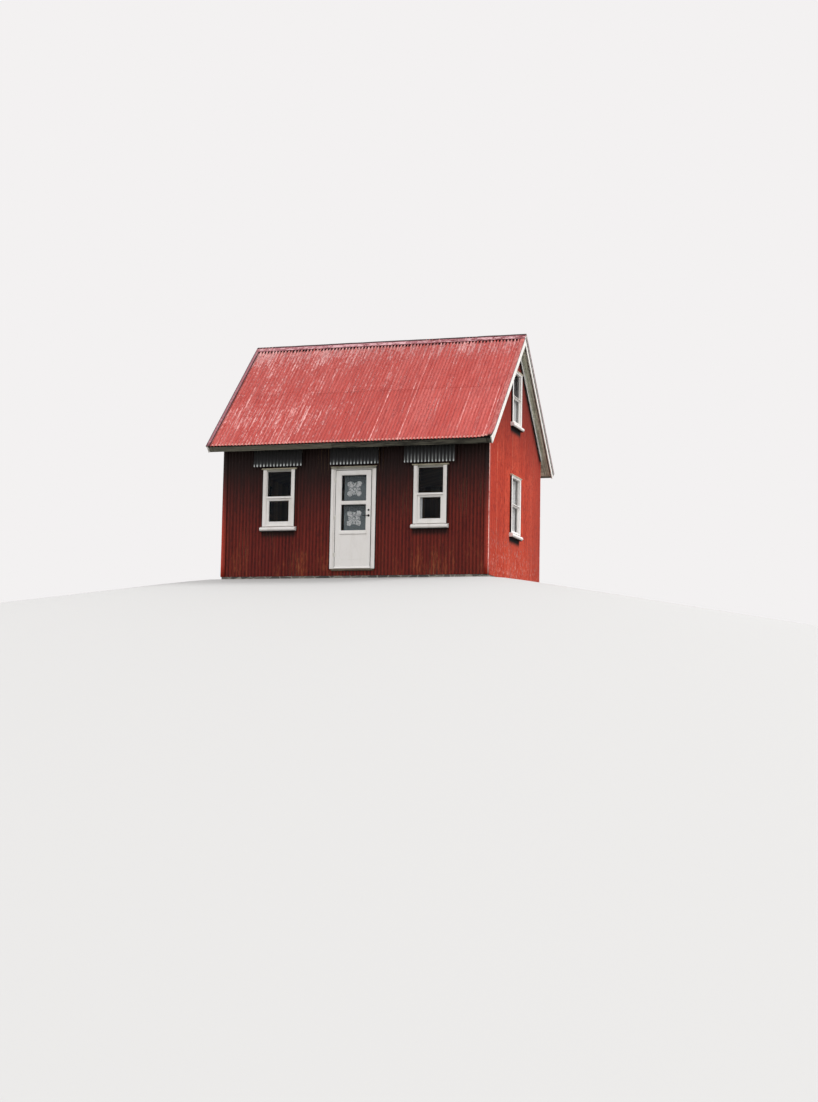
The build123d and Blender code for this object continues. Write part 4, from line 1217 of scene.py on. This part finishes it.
def add_hood(iron, timber, wall, middle, width, seed):
    """One hood: its plate, the board at its head and two uprights behind its ends."""
    place, half = partial(on_hood, wall), width / 2
    left, right = middle - half, middle + half
    corrugated(iron, place, (left, right), ((0.0, HOOD_HEIGHT, 0.0),), seed,
               phase=-2 * pi * left / PITCH)
    board_low, behind = HOOD_HEIGHT - HOOD_BOARD_HEIGHT, -IRON_DEPTH - 0.001
    timber.block(place, (left + HOOD_BOARD_INSET, board_low, -HOOD_OUT),
                 (right - HOOD_BOARD_INSET, HOOD_HEIGHT, behind), 0.4)
    for side in (-1, 1):
        timber.beside(place, middle, side, [half - inset for inset in HOOD_UPRIGHT],
                      (0.05, board_low - 0.001), (behind - 0.02, behind), 0.6)
    spots = [(left + (2 * k + 1) * PITCH, HOOD_HEIGHT - 0.03, 0.003) for k in range(7)]
    nail_heads(timber, place, spots)


hoods = {
    "front": [(left_window[0], WINDOW_HOOD_WIDTH), (DOOR_X + DOOR_HOOD_SHIFT, DOOR_HOOD_WIDTH),
              (right_window[0], WINDOW_HOOD_WIDTH)],
    "back": [(-BACK_WINDOW_X, WINDOW_HOOD_WIDTH), (BACK_WINDOW_X, WINDOW_HOOD_WIDTH)],
}
for wall, group in hoods.items():
    iron, timber = Stack(), Stack()
    for number, (middle, width) in enumerate(group):
        add_hood(iron, timber, wall, middle, width, 40 + number)
    make_piece(f"{wall}_hood_iron", iron, GALVANISED, (f"{wall}_hoods",),
               open_sheet=True, smooth=50)
    make_piece(f"{wall}_hood_timber", timber, FASCIA_WOOD, bevel=0.002)

# %% [markdown]
# ## Windows
#
# Each window has a flat casing, a frame a step behind it, a fixed light over a
# transom, and an opening light below. One function makes any of them from its four
# sizes, so each moulding is drawn once and all eight windows agree. Dark strips of
# painted shadow along the casings and under the sills, and dark wood behind the frame
# that is also painted shade, give each window its crisp outline.

# %% Outlines and beads of the joinery
BEAD = 0.011


def nosed_board(low, high, back, out, drop):
    """Outline (v, w) of a sill or head board: its top falls by drop towards a nose
    that is half a circle, and a groove under the nose throws the water off."""
    radius = (high - drop - low) / 2
    turn = np.linspace(pi / 2, -pi / 2, 9)
    nose = [(low + radius + radius * sin(a), out - radius + radius * cos(a)) for a in turn]
    groove = out - 2.2 * radius
    return [(low, back), (high, back), *nose, (low, groove + 0.008), (low + 0.005, groove + 0.005),
            (low + 0.005, groove + 0.002), (low, groove)]


def upright(place, points):
    """World points of a run that goes up: its u and v change places."""
    return place(np.asarray(points, float)[:, [1, 0, 2]])


def glazing_beads(stack, place, left, right, low, high, glass):
    """Four quarter beads that hold a pane: flat to the glass, rounded outward."""
    quarter = BEAD * np.array([(0.0, 0.0), (1.0, 0.0), (0.92, 0.38), (0.7, 0.7), (0.38, 0.92),
                               (0.0, 1.0)])
    runs = ((place, low, high, left, right), (partial(upright, place), left, right, low, high))
    for along, near, far, start, end in runs:
        stack.prism(along, [(near + v, glass + w) for v, w in quarter], start, end)
        stack.prism(along, [(far - v, glass + w) for v, w in quarter], start, end)


# %% One window
CASING_OUT, FRAME_OUT, LINING_START = 0.030, 0.024, -0.050
UPPER_SHARE = 0.479
LONG_WALL_BARS, GABLE_BARS = (0.040, 0.038, 0.098), (0.026, 0.026, 0.050)
STILE, SASH_THICKNESS, SASH_GAP = 0.047, 0.044, 0.002
SASH_FACE = CASING_OUT - 0.024
SASH_BODY = (SASH_FACE - SASH_THICKNESS, SASH_FACE)
UPPER_GLASS, LOWER_GLASS = CASING_OUT - 0.050, CASING_OUT - 0.044
SHADOW_STRIP, SHADOW_LAP = 0.010, 0.005
TRANSOM = [(0.0, LINING_START), (1.0, LINING_START), (1.0, 0.012), (0.77, 0.024), (0.45, 0.026),
           (0.38, 0.034), (0.11, 0.040), (0.04, 0.038), (0.0, 0.024)]


def add_window(wall, window, joinery, heads, lights, linings, shadow_strips, friezes):
    """One window's mouldings, in stacks for its frame, head board, lights, linings, the
    dark strips of painted shadow along its casing and under its sill, and the frame's head."""
    place = partial(on_wall, wall)
    middle, sill_z, head_z, width = window
    transom_height, top_rail, bottom_rail = GABLE_BARS if wall.endswith("gable") else LONG_WALL_BARS
    half = width / 2
    frame_half = half - CASING
    light_half = frame_half - FRAME_FACE
    bottom, top = sill_z + SILL_HEIGHT, head_z - BOARD_HEIGHT
    light_top = top - HEAD_FACE
    sash_top = bottom + (light_top - bottom) * (1 - UPPER_SHARE) - transom_height / 2
    light_bottom = sash_top + transom_height
    sash_low, sash_high = bottom + SASH_GAP, sash_top - SASH_GAP
    pane_low, pane_high = bottom + bottom_rail, sash_top - top_rail
    # Beside each casing a dark strip on the wall is painted shadow.
    for side in (-1, 1):
        for stack, across, up, out, tint in (
                (joinery, (frame_half, half - SHADOW_LAP), (bottom, top), (0.0, CASING_OUT), 0.5),
                (shadow_strips, (half - SHADOW_LAP, half + SHADOW_STRIP), (bottom, top),
                 (-IRON_DEPTH, CASING_OUT - 0.002), 0.5),
                (joinery, (light_half, frame_half), (bottom, top), (LINING_START, FRAME_OUT), 0.5),
                (linings, (light_half, frame_half), (bottom, top), (-WALL_INSIDE, LINING_START), 0.3),
                (lights, (light_half - STILE, light_half - SASH_GAP), (sash_low, sash_high),
                 SASH_BODY, 0.5)):
            stack.beside(place, middle, side, across, up, out, tint)
    left, right = middle - light_half, middle + light_half
    friezes.block(place, (left, light_top, LINING_START), (right, top, FRAME_OUT))
    for low, high in ((light_top, top), (sash_top, light_bottom)):
        linings.block(place, (left, low, -WALL_INSIDE), (right, high, LINING_START), 0.6)
    transom = [(sash_top + share * transom_height, w) for share, w in TRANSOM]
    joinery.prism(place, transom, left, right)
    sill_start, sill_end = middle - half - SILL_EAR, middle + half + SILL_EAR
    joinery.prism(place, nosed_board(sill_z + 0.010, bottom, -0.016, SILL_OUT, 0.020),
                  sill_start, sill_end)
    # Painted shadow on the sill's underside.
    shadow_strips.block(place, (sill_start + 0.004, sill_z, -IRON_DEPTH),
                (sill_end - 0.004, sill_z + 0.0095, SILL_OUT - 0.022))
    heads.prism(place, nosed_board(head_z - 0.030, head_z, 0.0, BOARD_OUT, 0.010),
                middle - half - BOARD_EAR, middle + half + BOARD_EAR)
    friezes.block(place, (middle - half - 0.004, top, 0.0),
                  (middle + half + 0.004, head_z - 0.028, 0.034))
    inner_left, inner_right = left + STILE, right - STILE
    for low, high in ((sash_low, pane_low), (pane_high, sash_high)):
        lights.block(place, (inner_left, low, SASH_BODY[0]), (inner_right, high, SASH_BODY[1]))
    lights.prism(place, [(bottom + 0.010, SASH_FACE), (bottom + 0.034, SASH_FACE),
                         (bottom + 0.014, SASH_FACE + 0.018), (bottom + 0.010, SASH_FACE + 0.016)],
                 inner_left - STILE + 0.006, inner_right + STILE - 0.006)
    glazing_beads(joinery, place, left, right, light_bottom, light_top, UPPER_GLASS)
    glazing_beads(lights, place, inner_left, inner_right, pane_low, pane_high, LOWER_GLASS)
    return {"light": (left, right, light_bottom, light_top),
            "opening": (left, right, bottom, sash_top)}


# %% All windows
GROUP_WINDOWS = {"front_left": ("front", [left_window]), "front_right": ("front", [right_window])}
GROUP_WINDOWS.update({wall: (wall, WINDOWS[wall]) for wall in ("back", "left_gable", "right_gable")})
heads, linings, shadow_strips, friezes = Stack(), Stack(), Stack(), Stack()
panes = {}
for group, (wall, windows) in GROUP_WINDOWS.items():
    joinery, lights = Stack(), Stack()
    # On the front and back the frames' heads take a grey of painted shade.
    shaded = joinery if wall.endswith("gable") else friezes
    panes[group] = [add_window(wall, window, joinery, heads, lights, linings, shadow_strips, shaded)
                    for window in windows]
    make_piece(f"{group}_joinery", joinery, WHITE_PAINT,
               (f"{group}_window_frame",), bevel=0.0018)
    make_piece(f"{group}_lights", lights, WHITE_PAINT,
               (f"{group}_window_sash",), bevel=0.0018)
make_piece("head_boards", heads, DIRTY_SHADED_WHITE, smooth=40)
make_piece("frame_heads", friezes, SHADED_WHITE, bevel=0.0018)
make_piece("window_linings", linings, LINING_WOOD)
make_piece("window_shadow_strips", shadow_strips, SHADOW_DARK)

# %% [markdown]
# ## The door
#
# The door has its own body, so everything that swings with it rides there: the leaf,
# the lace on its inside, dark strips of painted shadow at the head of each pane and
# along the leaf's edges, the lock and half of each hinge. The lever turns on the leaf
# and rides on a body of its own.

# %% Door frame and sill
LEAF_THICKNESS, LEAF_GAP, JAMB = 0.045, 0.005, 0.050
leaf_low, leaf_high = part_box("door_leaf")
glass_low, glass_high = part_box("door_glass")
DOOR_CASING_OUT, DOOR_HEAD, DOOR_CASING_WIDTH, STOP = 0.022, 0.045, 0.064, 0.012
STOP_FACE = -LEAF_THICKNESS - LEAF_GAP
front = partial(on_wall, "front")
jamb_half = (leaf_high.x - leaf_low.x) / 2 + LEAF_GAP
casing_half = (door_high.x - door_low.x) / 2
head_z = leaf_high.z + LEAF_GAP

surround, door_shadow_strips, door_top, door_cap = Stack(), Stack(), Stack(), Stack()
# Beside each casing a dark strip on the wall is painted shadow.
for side in (-1, 1):
    for stack, across, high, out in (
            (surround, (casing_half - DOOR_CASING_WIDTH, casing_half - SHADOW_LAP),
             door_high.z - DOOR_HEAD, (0.0, DOOR_CASING_OUT)),
            (door_shadow_strips, (casing_half - SHADOW_LAP, casing_half + SHADOW_STRIP),
             door_high.z, (-IRON_DEPTH, DOOR_CASING_OUT - 0.002)),
            (surround, (jamb_half, jamb_half + JAMB), head_z + JAMB, (STOP_FACE, 0.0)),
            (surround, (jamb_half - STOP, jamb_half + JAMB), head_z + JAMB,
             (-WALL_INSIDE, STOP_FACE))):
        stack.beside(front, DOOR_X, side, across, (sill_high.z, high), out)
# The head board over the door is grey as painted shade under the hood.
top_half = casing_half - SHADOW_LAP
door_top.block(front, (DOOR_X - top_half, door_high.z - DOOR_HEAD + 0.001, 0.0),
               (DOOR_X + top_half, door_high.z, DOOR_CASING_OUT + 0.002))
for half, low, out in ((jamb_half, head_z, (STOP_FACE, 0.0)),
                       (jamb_half - STOP, head_z - STOP, (-WALL_INSIDE, STOP_FACE))):
    surround.block(front, (DOOR_X - half, low, out[0]), (DOOR_X + half, head_z + JAMB, out[1]))
make_piece("door_surround", surround, WHITE_PAINT, ("door_frame",), bevel=0.002)
make_piece("door_shadow_strips", door_shadow_strips, SHADOW_DARK)
make_piece("door_head_board", door_top, SHADED_WHITE, bevel=0.002)
door_cap.prism(front, nosed_board(door_high.z, door_high.z + 0.016, 0.0, 0.034, 0.004),
               DOOR_X - casing_half - 0.006, DOOR_X + casing_half + 0.006)
make_piece("door_drip_board", door_cap, DIRTY_SHADED_WHITE, smooth=40)

sill = Stack()
sill_back = sill_high.y + HALF_DEPTH
nose_out = -(sill_low.y + HALF_DEPTH)
outline = [(sill_low.z, -0.018), (sill_low.z, -sill_back), (sill_high.z, -sill_back),
           (sill_high.z, nose_out - 0.012), (sill_high.z - 0.004, nose_out - 0.003),
           (sill_high.z - 0.012, nose_out), (sill_high.z - 0.04, nose_out),
           (sill_high.z - 0.04, -0.018)]
sill.prism(front, outline, sill_low.x, sill_high.x, 0.4)
make_piece("door_sill_board", sill, SILL_WOOD, ("door_threshold",),
           bevel=0.0015)

# %% Door leaf
PANE_HEIGHT = 0.560
MOULD_HEIGHT, MOULD_OUT, MOULD_EAR = 0.077, 0.014, 0.016
DRIP_HEIGHT, DRIP_OUT = 0.042, 0.024
DOOR_GLASS_FACE, PANE_SHADOW = -0.018, 0.024
pane_left, pane_right = glass_low.x, glass_high.x
lower_pane = (glass_low.z, glass_low.z + PANE_HEIGHT)
upper_pane = (glass_high.z - PANE_HEIGHT, glass_high.z)
FOOT_RAIL_TOP = sill_high.z + 0.187
mould_low, mould_top = lower_pane[0] - MOULD_HEIGHT, lower_pane[0]

leaf = Stack()
for left, right, low, high, w in (
        (leaf_low.x, pane_left, leaf_low.z, leaf_high.z, 0.0),
        (pane_right, leaf_high.x, leaf_low.z, leaf_high.z, 0.0),
        (pane_left, pane_right, upper_pane[1], leaf_high.z, 0.0),
        (pane_left, pane_right, lower_pane[1], upper_pane[0], 0.0),
        (pane_left, pane_right, leaf_low.z, FOOT_RAIL_TOP, 0.0),
        (pane_left, pane_right, mould_low, mould_top, 0.0),
        (pane_left, pane_right, FOOT_RAIL_TOP + 0.002, mould_low - 0.001, -0.0035)):
    leaf.block(front, (left, low, -LEAF_THICKNESS), (right, high, w))
mould = [(mould_low, 0.0), (mould_top, 0.0), (mould_top - 0.004, 0.006), (mould_top - 0.02, 0.010),
         (mould_low + 0.03, MOULD_OUT), (mould_low + 0.012, MOULD_OUT), (mould_low + 0.008, 0.008),
         (mould_low, 0.006)]
leaf.prism(front, mould, pane_left - MOULD_EAR, pane_right + MOULD_EAR)
drip = [(leaf_low.z, 0.0), (leaf_low.z + DRIP_HEIGHT, 0.0), (leaf_low.z + 0.012, DRIP_OUT),
        (leaf_low.z + 0.004, DRIP_OUT), (leaf_low.z, DRIP_OUT - 0.006)]
leaf.prism(front, drip, leaf_low.x + 0.005, leaf_high.x - 0.005)
for low, high in (lower_pane, upper_pane):
    glazing_beads(leaf, front, pane_left, pane_right, low, high, DOOR_GLASS_FACE)
make_piece("door_joinery", leaf, WHITE_PAINT, ("door_leaf",), body="door",
           bevel=0.0016)
# Painted shadow: dark strips at the head of each pane and along the leaf's edges.
leaf_shadows = Stack()
for low, high in (lower_pane, upper_pane):
    leaf_shadows.block(front, (pane_left, high - PANE_SHADOW, DOOR_GLASS_FACE - 0.012),
                (pane_right, high, DOOR_GLASS_FACE - 0.007))
for left, right, low in ((leaf_low.x, leaf_low.x + 0.007, leaf_low.z),
                         (leaf_high.x - 0.011, leaf_high.x, leaf_low.z),
                         (leaf_low.x, leaf_high.x, leaf_high.z - 0.007)):
    leaf_shadows.block(front, (left, low, 0.0002), (right, leaf_high.z, 0.0012))
make_piece("leaf_shadow_strips", leaf_shadows, SHADOW_DARK, body="door")

# %% Lever and its knob
LEVER_LENGTH, LEVER_RADIUS, NECK_OUT, ELBOW = 0.130, 0.0085, 0.041, 0.016
ROSE_RADIUS, ROSE_THICKNESS = 0.025, 0.006
LOCK_RISE, LOCK_RADIUS, LOCK_OUT = 0.115, 0.021, 0.014
KNOB_RADIUS = 0.024
lever_low, lever_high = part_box("door_lever")
LEVER_Z = (lever_low.z + lever_high.z) / 2
LEVER_X = lever_low.x + LEVER_LENGTH


def tube(stack, place, path, radii, sides=14):
    """A round bar along a path in the plane of u and w: each ring stands across the
    path's direction and is as wide as the radius there."""
    ahead = np.gradient(path, axis=0)
    ahead /= np.linalg.norm(ahead, axis=1)[:, None]
    up = np.array((0.0, 1.0, 0.0))
    side = np.cross(ahead, up)
    turn = np.linspace(0, 2 * pi, sides, endpoint=False)
    ring = np.cos(turn)[None, :, None] * up + np.sin(turn)[None, :, None] * side[:, None]
    stack.rings(place, path[:, None] + radii[:, None, None] * ring)


handle = Stack()
grip_w = NECK_OUT - LEVER_RADIUS
neck = [(LEVER_X, LEVER_Z, w) for w in np.linspace(ROSE_THICKNESS + 0.001, grip_w - ELBOW, 4)]
neck += [(LEVER_X - ELBOW * (1 - cos(a)), LEVER_Z, grip_w - ELBOW + ELBOW * sin(a))
         for a in np.linspace(0, pi / 2, 8)[1:]]
neck += [(LEVER_X - d, LEVER_Z, grip_w) for d in np.linspace(ELBOW + 0.008, LEVER_LENGTH, 14)]
neck = np.array(neck)
run = np.concatenate([[0], np.cumsum(np.linalg.norm(np.diff(neck, axis=0), axis=1))])
share = run / run[-1]
radii = LEVER_RADIUS * (0.92 - 0.12 * share + 0.12 * np.exp(-((share - 0.93) / 0.06) ** 2))
radii = radii * np.sqrt(np.clip((1.002 - share) / 0.03, 0.05, 1))
tube(handle, front, neck, radii)
handle.turned(front, (LEVER_X, LEVER_Z, ROSE_THICKNESS + 0.001),
              [(0.0085, 0.0), (0.009, 0.002), (0.0075, 0.006), (0.007, 0.012)])
knob = [(0.004, 0.052), (0.004, -0.001), (0.008, -0.002), (0.008, -0.012), (0.014, -0.016),
        (0.021, -0.022), (KNOB_RADIUS, -0.028), (0.021, -0.034), (0.010, -0.0345)]
handle.turned(front, (LEVER_X, LEVER_Z, -LEAF_THICKNESS - ROSE_THICKNESS), knob)
make_piece("lever_handle", handle, BLACK_IRON, ("door_lever",), body="lever",
           smooth=45)

# %% Roses, lock and hinges
furniture = Stack()
rose = [(0.0048, 0.0), (ROSE_RADIUS, 0.0), (ROSE_RADIUS, 0.003), (ROSE_RADIUS - 0.002, 0.005),
        (ROSE_RADIUS - 0.006, ROSE_THICKNESS), (0.0048, ROSE_THICKNESS)]
furniture.turned(front, (LEVER_X, LEVER_Z, 0.0), rose, 32)
inner_rose = [(radius, -w) for radius, w in rose]
furniture.turned(front, (LEVER_X, LEVER_Z, -LEAF_THICKNESS), inner_rose, 32)
lock = [(LOCK_RADIUS, 0.0), (LOCK_RADIUS, 0.008), (LOCK_RADIUS - 0.003, 0.0125),
        (0.009, LOCK_OUT), (0.0085, LOCK_OUT - 0.001), (0.002, LOCK_OUT - 0.001)]
furniture.turned(front, (LEVER_X, LEVER_Z + LOCK_RISE, 0.0), lock, 28)
make_piece("door_roses", furniture, BLACK_IRON, ("door_lock",), body="door",
           smooth=35)

HINGE_HEIGHT, BARREL_RADIUS, HINGE_PLATE, PLATE_THICKNESS = 0.090, 0.004, 0.026, 0.002
hinge_low, hinge_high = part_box("leaf_hinges")
HINGE_X = hinge_low.x + BARREL_RADIUS
HINGE_FEET = np.linspace(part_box("frame_hinges")[0].z, hinge_high.z + 0.0005 - HINGE_HEIGHT, 3)


def on_barrel(points):
    """Place of a part turned about the hinge's upright axis: its w runs up."""
    points = np.asarray(points, float)
    return np.stack([HINGE_X + points[:, 0], -HALF_DEPTH - BARREL_RADIUS + points[:, 1],
                     points[:, 2]], axis=1)


for name, side, low_share, tip, body, node in (
        ("hinge_halves_on_frame", -1, 0.0, 0.0, "cabin", "frame_hinges"),
        ("hinge_halves_on_leaf", 1, 0.5, 0.003, "door", "leaf_hinges")):
    hinges = Stack()
    for foot in HINGE_FEET:
        low = foot + low_share * HINGE_HEIGHT + 0.0005
        high = foot + (low_share + 0.5) * HINGE_HEIGHT - 0.0005
        barrel = [(BARREL_RADIUS, low), (BARREL_RADIUS, high),
                  (BARREL_RADIUS * 0.6, high + tip + 0.0001)]
        hinges.turned(on_barrel, (0.0, 0.0, 0.0), barrel, 14)
        hinges.beside(front, HINGE_X, side, (0.005, HINGE_PLATE), (foot, foot + HINGE_HEIGHT),
                      (0.0, PLATE_THICKNESS))
        hinges.beside(front, HINGE_X, side, (0.0, 0.0052), (low, high), (0.0002, PLATE_THICKNESS))
        for share in (0.15, 0.5, 0.85):
            screw = (HINGE_X + side * 0.017, foot + share * HINGE_HEIGHT, PLATE_THICKNESS)
            hinges.turned(front, screw, [(0.0036, -0.001), (0.0036, 0.0004), (0.002, 0.0009)], 10)
    make_piece(name, hinges, HINGE_STEEL, (node,), body=body, smooth=40)

# %% [markdown]
# ## Lace and curtains
#
# Behind the door's panes hangs one panel of net with a worked flower in each pane.
# The net is one thin sheet. Its threads are finer than any mesh could be, so alpha
# says how much of it is thread: little in the ground, more in the flower and the hem.

# %% Lace
lace_low, lace_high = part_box("door_lace")
LACE_PLANE = -(LEAF_THICKNESS + 0.002)
FLOWER_DROP, FLOWER_SHIFT, FLOWER_RADIUS = 0.013, 0.0025, 0.200
CLOTH_THICKNESS = 0.0006


def lace_threads():
    """Net with two flowers: the edge of each is a circle times (0.80 - 0.20 cos 4 angle),
    so that four petals lie on the diagonals. Slits part them, an eye rings the middle,
    and knots of thread make each a little uneven. The net is darker towards the head of
    each pane as painted shade."""
    r = Recipe("lace")
    along, up, _ = r.split(r.lay())
    middle_x = (pane_left + pane_right) / 2 + FLOWER_SHIFT
    thread = r.noise(r.lay(), (0.004, 0.004, 0.01), detail=3, roughness=0.7)
    cloud = r.noise(r.lay(), (0.03, 0.03, 0.03), detail=3, shift=3.0)
    knots = r.noise(r.lay(), (0.035, 0.035, 0.03), detail=2, shift=6.0).rises(0.42, 0.56)
    worked, shade = None, None
    for low, high in (lower_pane, upper_pane):
        x = along - middle_x
        y = up - ((low + high) / 2 - FLOWER_DROP)
        radius = (x * x + y * y).math("SQRT")
        petals = (y.math("ARCTAN2", x) * 4.0).math("COSINE")
        share = radius / FLOWER_RADIUS
        edge = petals * -0.20 + 0.80 + (cloud - 0.5) * 0.3
        shape = 1.0 - (share - edge).rises(-0.04, 0.04)
        slit = (1.0 - (petals - 0.25).math("ABSOLUTE").rises(0.10, 0.42)) * share.rises(0.22, 0.45)
        eye = 1.0 - (share - 0.17).math("ABSOLUTE").rises(0.02, 0.08)
        veins = (radius * 190.0 + petals * 3.0).math("SINE").rises(-0.8, 0.1)
        flower = shape * (1.0 - slit * 0.8) * (1.0 - eye * 0.6) * (veins * 0.2 + 0.3 + knots * 0.5)
        worked = worked.math("MAXIMUM", flower) if worked else flower
        # Painted shade: the net darkens towards the head of each pane.
        painted_head_shade = up.rises(low + 0.25, high) * (1.0 - up.rises(high, high + 0.01))
        shade = shade.math("MAXIMUM", painted_head_shade) if shade else painted_head_shade
    left, right = lace_low.x, lace_high.x
    edge_gap = (along - left).math("MINIMUM", (along - right) * -1)
    band = edge_gap.rises(0.040, 0.043) * (1.0 - edge_gap.rises(0.048, 0.051))
    hem = 1.0 - edge_gap.rises(0.012, 0.016) + band * 0.5
    alpha = thread * 0.2 + 0.40 + worked * (thread * 0.2 + 0.6) + hem * 0.15
    net = r.mix(shade, tone(160, 172, 176), tone(112, 120, 124))
    colour = r.mix((worked + hem * 0.2).rises(0.1, 0.7), net, tone(250, 251, 252))
    return r.finish(colour, 0.85, thread, 0.0005, alpha)


def hung_cloth(name, wall, sides, heights, plane, folds, depth, material, body, node,
               part=None):
    """A sheet hung in upright folds: w = plane + depth sin(folds' waves across u), with
    the waves' phase drifting down v. part(u, v) may draw its side in. Its flat size is
    measured along the folds."""
    u, v = np.meshgrid(np.linspace(*sides, 8 * folds + 1), np.linspace(*heights, 31))
    wave_share = (u - sides[0]) / (sides[1] - sides[0])
    drift = 0.4 * np.sin(2.2 * (v - heights[0]))
    w = plane + depth * np.sin(2 * pi * folds * wave_share + drift) * (0.75 + 0.25 * np.cos(5 * v))
    if part is not None:
        u = part(u, v)
    flat = np.stack([u, v, w], axis=2)
    cloth = Stack()
    cloth.sheet(partial(on_wall, wall), flat.reshape(-1, 3), grid_quads(*u.shape))
    piece = make_piece(name, cloth, material, (node,), body=body, open_sheet=True, smooth=60)
    piece.modifiers["sheet thickness"].thickness = CLOTH_THICKNESS
    size = [float(np.linalg.norm(np.diff(flat, axis=axis), axis=2).sum(axis=axis).mean())
            for axis in (1, 0)]
    print(name, "was cut", [round(length, 3) for length in size])


hung_cloth("lace_panel", "front", (lace_low.x, lace_high.x), (lace_low.z, lace_high.z), LACE_PLANE,
           9, 0.0011, lace_threads(), "door", "door_lace")

# %% Curtains
CURTAIN_PLANE, CURTAIN_DEPTH = -0.066, 0.0045
FRONT_CURTAIN, FRONT_CURTAIN_PLANE = 0.095, -0.046
DRAPED_SHARE = 0.55


def hang_curtain(name, wall, light, part=None):
    """A curtain in the reveal of one light, over its whole width unless part draws it."""
    left, right, low, high = light
    hung_cloth(name, wall, (left + 0.002, right), (low + 0.001, high - 0.001), CURTAIN_PLANE, 11,
               CURTAIN_DEPTH, CLOTH, "cabin", "window_curtains",
               part)


def drape(light, u, v):
    """The curtain drawn to its left: its free edge curves from the light's foot on the
    right to a little over half its height on the left."""
    left, _, low, high = light
    share = np.clip(1 - ((v - low) / (DRAPED_SHARE * (high - low))) ** 0.8, 0.03, 1)
    return left + (u - left) * share


for wall in ("left_gable", "right_gable"):
    for floor_name, lights in zip(("lower", "attic"), panes[wall]):
        part = partial(drape, lights["light"]) if floor_name == "attic" else None
        hang_curtain(f"{wall}_{floor_name}_upper_curtain", wall, lights["light"], part)
        hang_curtain(f"{wall}_{floor_name}_curtain", wall, lights["opening"])
left, _, low, high = panes["front_right"][0]["opening"]
hung_cloth("front_right_curtain", "front", (left + 0.001, left + FRONT_CURTAIN),
           (low + 0.001, high - 0.001), FRONT_CURTAIN_PLANE, 3, CURTAIN_DEPTH, FRONT_CLOTH,
           "cabin", "window_curtains")

# %% [markdown]
# ## The stage
#
# The camera is below the cabin's foot, so a level floor would hide it. The floor is a
# pale rise instead: level under the cabin, and falling away from it on all sides by
# more than the camera's own slope. It takes the cabin's shadow. To bounced light it is
# a darker ground, so that the eaves' undersides stay dark. The sky is a little brighter
# behind the cabin than before it, which leaves the front in soft shade, and one soft
# lamp, high on the right and behind, lights the right gable and the roof. The camera,
# gloss and glass see one plain pale tone.

# %% Pale rise, sky and lamp
RISE_FALL, RISE_EASE, STAGE_REACH = 0.17, 0.35, 90.0
GROUND_TONE, SKY_TONE = tone(184, 183, 182), tone(243, 241, 241)


def pale_rise():
    """Height = -fall times (root of distance squared plus ease squared, less ease), where
    distance is measured outward from the cabin's footprint."""
    share = np.linspace(-1, 1, 181)
    line = np.sign(share) * np.abs(share) ** 2.4 * STAGE_REACH
    x, y = np.meshgrid(line, line)
    out_x = np.clip(np.abs(x) - HALF_LENGTH, 0, None)
    out_y = np.clip(np.abs(y) - HALF_DEPTH, 0, None)
    distance = np.hypot(out_x, out_y)
    z = -RISE_FALL * (np.sqrt(distance ** 2 + RISE_EASE ** 2) - RISE_EASE)
    mesh = bpy.data.meshes.new("pale_rise")
    flat = np.stack([x, y, z], axis=2).reshape(-1, 3)
    mesh.from_pydata(flat.tolist(), [], grid_quads(*x.shape).tolist())
    mesh.polygons.foreach_set("use_smooth", [True] * len(mesh.polygons))
    return bpy.data.objects.new("pale_rise", mesh)


def ground_finish():
    """Pale to the camera, and a darker grey to every other ray."""
    r = Recipe("pale ground")
    seen = Wire(r, r.node("ShaderNodeLightPath").socket.node.outputs["Is Camera Ray"])
    surface = r.mix(seen, tone(88, 86, 79), GROUND_TONE)
    return r.finish(surface, 0.9)


stage = pale_rise()
bpy.context.scene.collection.objects.link(stage)
stage.data.materials.append(ground_finish())

SKY_FRONT, SKY_BACK, SKY_RISE = 1.16, 1.42, 0.10
RAYS = ("Is Camera Ray", "Is Glossy Ray", "Is Transmission Ray")
world = bpy.data.worlds.new("soft sky")
bpy.context.scene.world = world
sky = Recipe("sky", world)
light_path = sky.node("ShaderNodeLightPath").socket.node
camera_ray, glossy_ray, clear_ray = (Wire(sky, light_path.outputs[ray]) for ray in RAYS)
shown = camera_ray.math("MAXIMUM", glossy_ray).math("MAXIMUM", clear_ray)
sideways, forward, upward = sky.split(sky.node("ShaderNodeTexCoord", out="Generated"))
level = (forward + sideways * 0.6).rises(-0.5, 0.5) * (SKY_BACK - SKY_FRONT) + SKY_FRONT
level = level + upward.rises(0.0, 1.0) * SKY_RISE
lit = sky.shade((1.0, 1.0, 1.0, 1.0), level)
backdrop = sky.node("ShaderNodeBackground", values={"Color": sky.mix(shown, lit, SKY_TONE)})
sky.node("ShaderNodeOutputWorld", values={"Surface": backdrop})

LAMP_STRENGTH, LAMP_WIDTH = 1.65, radians(16)
LAMP_FROM = (0.72, 0.42, 0.95)
lamp = bpy.data.objects.new("soft lamp", bpy.data.lights.new("soft lamp", "SUN"))
lamp.data.energy = LAMP_STRENGTH
lamp.data.angle = LAMP_WIDTH
east, north, height = LAMP_FROM
lamp.rotation_euler = (atan2(hypot(east, north), height), 0, atan2(east, -north))
bpy.context.scene.collection.objects.link(lamp)
bpy.context.scene.view_settings.view_transform = "Standard"
print("stage, sky and lamp are set")
